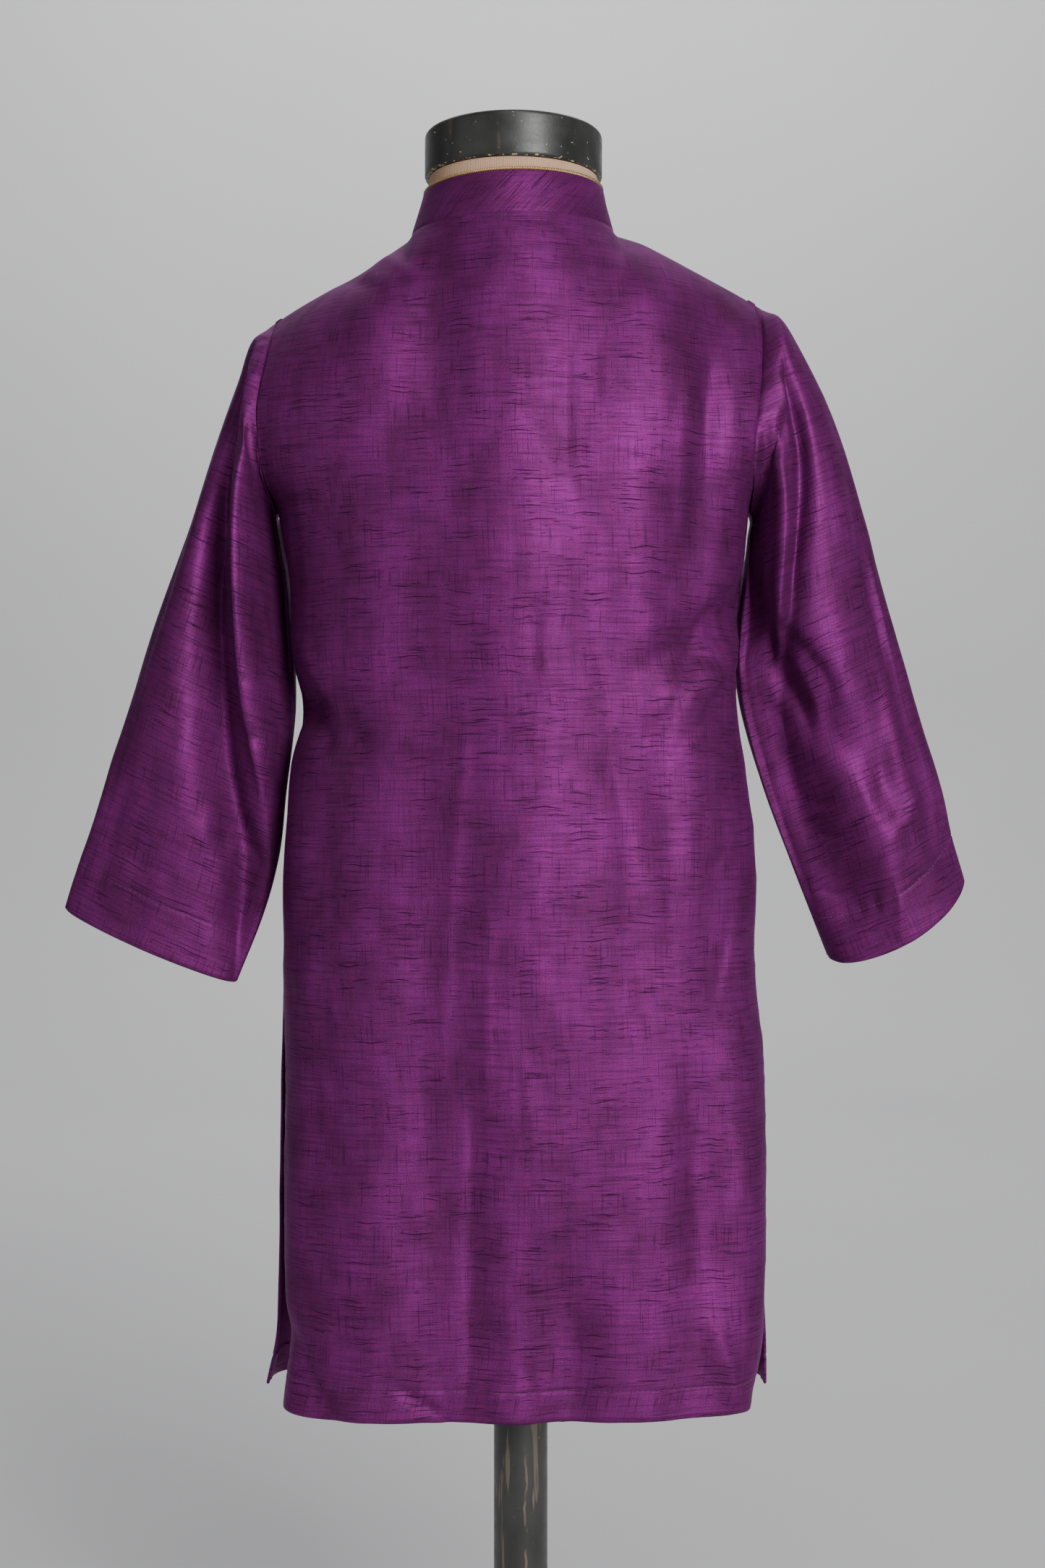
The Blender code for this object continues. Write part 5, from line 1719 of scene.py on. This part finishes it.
def make_sleeves(silk, thread):
    behind, before = np.linspace(0, 0.5, 137), np.linspace(0.5, 1, 65)
    turns = np.concatenate([behind, before[1:-1]])
    alongs = graded(0, 1, 170, (1 - SLEEVE_HEM / 0.36,), 0.03, 15)
    made = {}
    for hand in ("left", "right"):
        grid, facing, weft, down, girth = sleeve_points(hand, turns, alongs)
        # The under seam parts the weave.
        starts = np.where(turns < 0.4999, turns, turns - 1)
        ends = starts + np.diff(np.append(turns, 1.0))
        next_weft = np.roll(weft, -1, axis=1)
        uvs = (
            np.stack([starts * girth[:, None], weft], -1),
            np.stack([ends * girth[:, None], next_weft], -1),
        )
        from_cuff = down[-1][None, :] - down
        obj = shell(
            f"sleeve_{hand}_cloth", grid, facing, wall_of(from_cuff, SLEEVE_HEM), uvs,
            hand == "right", silk, closed=True,
        )
        made[hand] = finish_piece(obj, "silk", "sleeve_" + hand)
        hem = level_line(grid, facing, -from_cuff, -SLEEVE_HEM)
        sewn = joined(f"sleeve_{hand}_stitches", stitches(hem), thread)
        finish_piece(sewn, "silk")
    return made


def make_collar(silk, gold):
    end = math.pi - math.radians(COLLAR_OPENING_DEG)
    angles = np.linspace(-end, end, 241)
    shares = graded(0, 1, 24, (0.0, 1.0), 0.1, 9)
    grid, facing = collar_points(angles, shares)
    u, v = lengths_along(grid, 1), lengths_along(grid, 0)
    height = 0.0004 * ripples(u, v, (0.014, 0.020), 51) * fade(1 - shares, 0.2)[:, None]
    height = height - 0.0005 * groove(v, 0.0016)
    grid = grid + facing * height[:, :, None]
    grid[0, :, 2] -= 0.0006
    collar = shell("collar_cloth", grid, facing, COLLAR_WALL, sides_of(v + 0.4, u), True, silk)
    finish_piece(collar, "silk", "collar")

    line = lift(grid[-1] - facing[-1] * COLLAR_WALL / 2)
    line[:, 2] += PIPING_RADIUS + 0.0002
    run = lengths_along(line[:, None], 0)[:, 0]
    places = np.arange(0, run[-1], CORD_PITCH / 9)
    smooth = np.stack([np.interp(places, run, line[:, k]) for k in range(3)], -1)
    ahead = np.gradient(smooth, axis=0)
    ahead /= length_of(ahead)
    side = np.cross(ahead, np.array([0.0, 0.0, 1.0]))
    side /= length_of(side)
    over = np.cross(side, ahead)
    strands = []
    for k in range(2):
        angle = places / CORD_PITCH * 2 * math.pi + k * math.pi
        strand = smooth + CORD_OFFSET * (
            np.cos(angle)[:, None] * side + np.sin(angle)[:, None] * over
        )
        strands.append(tube(strand, PIPING_RADIUS - CORD_OFFSET, 8))
    cord = joined("collar_gold_cord", strands, gold)
    finish_piece(cord, "gold_piping", "collar_piping")
    return collar, cord


def make_form(jersey):
    """The dress form's skin, smooth and whole, with a socket for the pole underneath."""
    shares = np.linspace(-1, 1, 121)
    shares = np.unique(np.concatenate([shares, [-NECK_SHARE, NECK_SHARE]]))
    ups = graded(TORSO_INSET["up"][0], ARMPIT_UP, 60)
    yokes = fine_yoke_shares()
    back = inset_grid("back", shares, ups, yokes)
    front = inset_grid("front", shares, ups, yokes)
    ridge = np.abs(shares) > NECK_SHARE - 1e-9
    back[-1, ridge] = front[-1, ridge] = (back[-1, ridge] + front[-1, ridge]) / 2
    grid = np.concatenate([back, front[:, ::-1]], axis=1)
    neck = np.abs(shares) < NECK_SHARE + 1e-9
    ring = np.concatenate([back[-1, neck], front[-1, neck][::-1][1:-1]])
    hole = POLE_RADIUS + CLEARANCE
    foot = np.arctan2(grid[0, :, 1], grid[0, :, 0])
    rim = np.stack([hole * np.cos(foot), hole * np.sin(foot), grid[0, :, 2]], -1)
    socket = rim + np.array([0.0, 0.0, SOCKET_DEPTH])
    mid_foot = rim + (grid[0] - rim) * 0.5
    torso = np.concatenate([[socket, rim, mid_foot], grid])
    rings = neck_rings(ring)
    knots = np.array([0.0, 0.15, 0.75, 1.0])
    neck_grid = curve_through(knots, rings, np.linspace(0, 1, 30))

    mesh = bmesh.new()
    layer = mesh.loops.layers.uv.new("weave")
    for part in (lift(torso), lift(neck_grid)):
        u = lengths_along(np.concatenate([part, part[:, :1]], 1), 1)
        v = lengths_along(part, 0) + part[0, 0, 2]
        verts = [[mesh.verts.new(p) for p in row] for row in part]
        count = part.shape[1]
        for j in range(len(verts) - 1):
            for i in range(count):
                n = (i + 1) % count
                face = mesh.faces.new([verts[j][i], verts[j][n], verts[j + 1][n], verts[j + 1][i]])
                face.smooth = True
                places = ((j, i), (j, i + 1), (j + 1, i + 1), (j + 1, i))
                for loop, (row, column) in zip(face.loops, places):
                    loop[layer].uv = (u[row, column], v[row, column % count])
    bmesh.ops.remove_doubles(mesh, verts=mesh.verts, dist=0.00003)
    bmesh.ops.holes_fill(mesh, edges=[e for e in mesh.edges if e.is_boundary])
    bmesh.ops.recalc_face_normals(mesh, faces=mesh.faces)
    data = bpy.data.meshes.new("dress_form")
    mesh.to_mesh(data)
    mesh.free()
    data.materials.append(jersey)
    data.set_sharp_from_angle(angle=math.radians(60))
    form = bpy.data.objects.new("dress_form", data)
    bpy.context.scene.collection.objects.link(form)
    return finish_piece(form, "jersey", "form_body")


def make_stand():
    """The neck cap, the pole and the base, turned more finely than their solids."""
    cap_profile = (
        [(0.0, 0.0), (NECK_CAP_RADIUS - 0.0030, 0.0), (NECK_CAP_RADIUS - 0.0014, 0.0002)]
        + [(NECK_CAP_RADIUS - 0.0003, 0.0008), (NECK_CAP_RADIUS, 0.0018)]
        + [(NECK_CAP_RADIUS, 0.010), (NECK_CAP_RADIUS, 0.018)]
        + rounded(NECK_CAP_RADIUS, NECK_CAP_HEIGHT, 0.0030, 8)
        + [(NECK_CAP_RADIUS * 0.6, NECK_CAP_HEIGHT + 0.0006), (0.0, NECK_CAP_HEIGHT + 0.0010)]
    )
    low_edge = NECK_CAP_RADIUS
    side = low_edge + NECK_CAP_HEIGHT
    wood = painted_material(
        "black_painted_wood", low_edge + side, low_edge - 0.001, colour(196, 186, 150), 0.2
    )
    cap = turned(
        "neck_cap_wood", cap_profile, wood, 128,
        (FORM_MID_X, 0.0, HEM_HEIGHT + NECK_TOP_UP + CLEARANCE),
    )
    finish_piece(cap, "black_wood", "neck_cap")

    floor = HUB_HEIGHT - SOCKET_DEPTH
    bottom = floor + CLEARANCE
    top = form_foot() + SOCKET_DEPTH - CLEARANCE
    steps = np.linspace(0, top - bottom, 9)
    bare_steel = colour(120, 104, 88)
    streak = (POLE_RADIUS * math.radians(281) + 0.0025, 0.12, 0.27)
    pole_steel = painted_material("black_painted_pole", 9.0, 0.0, bare_steel, 1.0, streak)
    steel = painted_material("black_painted_steel", 9.0, 0.0, bare_steel, 0.25)
    pole = turned(
        "pole_steel",
        [(0.0, 0.0)] + [(POLE_RADIUS, z) for z in steps] + [(0.0, top - bottom)],
        pole_steel, 72, (0.0, 0.0, bottom),
    )
    finish_piece(pole, "black_metal", "pole")

    hole = POLE_RADIUS + CLEARANCE
    base = turned(
        "base_steel",
        [
            (0.0, 0.0), (BASE_RADIUS - 0.002, 0.0), (
                BASE_RADIUS - 0.0006, 0.0006
            ), (BASE_RADIUS, 0.002)
        ]
        + rounded(BASE_RADIUS, BASE_THICK, 0.006, 8)
        + [(HUB_RADIUS + 0.040, BASE_THICK + 0.0006), (HUB_RADIUS + 0.020, BASE_THICK + 0.002)]
        + [(HUB_RADIUS + 0.010, BASE_THICK + 0.0038), (HUB_RADIUS + 0.004, BASE_THICK + 0.0068)]
        + [(HUB_RADIUS + 0.001, BASE_THICK + 0.010), (HUB_RADIUS, BASE_THICK + 0.013)]
        + rounded(HUB_RADIUS, HUB_HEIGHT, 0.003, 6)
        + [(hole, HUB_HEIGHT), (hole, floor), (0.0, floor)],
        steel, 160, (0.0, 0.0, 0.0),
    )
    finish_piece(base, "black_metal", "base")


def button_profile():
    """A four-hole button's section, from its underside to the dish in its face."""
    return (
        [(0.0, 0.0), (BUTTON_RADIUS - 0.0006, 0.0), (BUTTON_RADIUS, 0.0006)]
        + rounded(BUTTON_RADIUS, BUTTON_THICK, 0.0008, 5)
        + [(BUTTON_RADIUS * 0.72, BUTTON_THICK * 0.96), (BUTTON_RADIUS * 0.62, BUTTON_THICK * 0.72)]
        + [(BUTTON_RADIUS * 0.3, BUTTON_THICK * 0.70), (0.0, BUTTON_THICK * 0.70)]
    )


def make_buttons(grid, facing, plastic, thread):
    """Buttons down the placket, each held by a cross of thread."""
    middle = grid.shape[1] // 2
    column, outward = grid[:, middle], facing[:, middle]
    ups = np.linspace(PLACKET_BOTTOM_UP + 0.012, TOP_BUTTON_UP, BUTTON_COUNT)
    made = []
    for k, up in enumerate(ups):
        row = int(np.abs(column[:, 2] - up).argmin())
        face = outward[row]
        place = column[row] + face * (BUTTON_STANDS - 0.0003)
        button = turned(f"button_{k + 1}_face", button_profile(), plastic, 48, (0.0, 0.0, 0.0))
        tilt = math.atan2(face[2], face[1])
        button.rotation_euler = (-math.pi / 2 + tilt, 0.0, 0.0)
        button.location = lift(place)
        finish_piece(button, "button", f"button_{k + 1}")
        up_way = np.cross([1.0, 0.0, 0.0], face)
        pieces = []
        for a, b in ((-1, 1), (1, -1)):
            share = np.linspace(-1, 1, 15)
            rise = BUTTON_THICK * 0.72 + 0.0004 * np.sqrt(np.clip(1 - share**2, 0, 1))
            side = np.array([1.0, 0.0, 0.0]) * a * 0.0011
            line = lift(place) + share[:, None] * (
                side + up_way * b * a * 0.0011
            ) + rise[:, None] * face
            pieces.append(tube(line, 0.00028, 8))
        pieces.append(
            tube([lift(place) - face * 0.0008, lift(place) - face * 0.0004, lift(place) + face * 0.0004],
                 0.0009, 10)
        )
        cross = joined(f"button_{k + 1}_thread", pieces, thread)
        made.append(finish_piece(cross, "silk"))
        made.append(button)
    return made


# The room.


def make_room():
    camera = bpy.data.objects.new("camera", bpy.data.cameras.new("camera"))
    camera.data.lens = CAMERA_LENS
    camera.data.sensor_width = 36.0
    camera.data.clip_end = 30.0
    camera.location = CAMERA_PLACE
    camera.rotation_euler = (math.pi / 2, 0.0, 0.0)
    bpy.context.scene.collection.objects.link(camera)
    bpy.context.scene.camera = camera

    # A floor that curves up into a wall.
    turn = np.linspace(0, math.pi / 2, 17)
    bend = 0.9
    profile = [(-6.0, 0.0)] + [
        (WALL_Y + bend * (math.sin(a) - 1), bend - bend * math.cos(a)) for a in turn
    ]
    profile += [(WALL_Y, 6.0)]
    points = [(x, y, z) for y, z in profile for x in (-6.0, 6.0)]
    faces = [(2 * k, 2 * k + 1, 2 * k + 3, 2 * k + 2) for k in range(len(profile) - 1)]
    mesh_object("backdrop", points, faces, room_material())

    world = bpy.data.worlds.new("studio")
    bpy.context.scene.world = world
    world.use_nodes = True
    background = world.node_tree.nodes["Background"]
    background.inputs["Color"].default_value = (0.86, 0.88, 0.92, 1.0)
    background.inputs["Strength"].default_value = WORLD_STRENGTH
    for name, (place, target, size, energy) in LIGHTS.items():
        light = bpy.data.lights.new(name, "AREA")
        light.shape = "RECTANGLE"
        light.size, light.size_y = size
        light.energy = energy
        obj = bpy.data.objects.new(name, light)
        obj.location = place
        way = Vector(target) - Vector(place)
        obj.rotation_euler = way.to_track_quat("-Z", "Y").to_euler()
        bpy.context.scene.collection.objects.link(obj)


def main():
    silk, thread = silk_material(), thread_material()
    panels = make_panels(silk, thread)
    placket, (grid, facing) = make_placket(silk)
    buttons = make_buttons(grid, facing, button_material(), thread)
    sleeves = make_sleeves(silk, thread)
    collar, cord = make_collar(silk, gold_material())
    make_form(jersey_material())
    make_stand()
    make_room()


main()
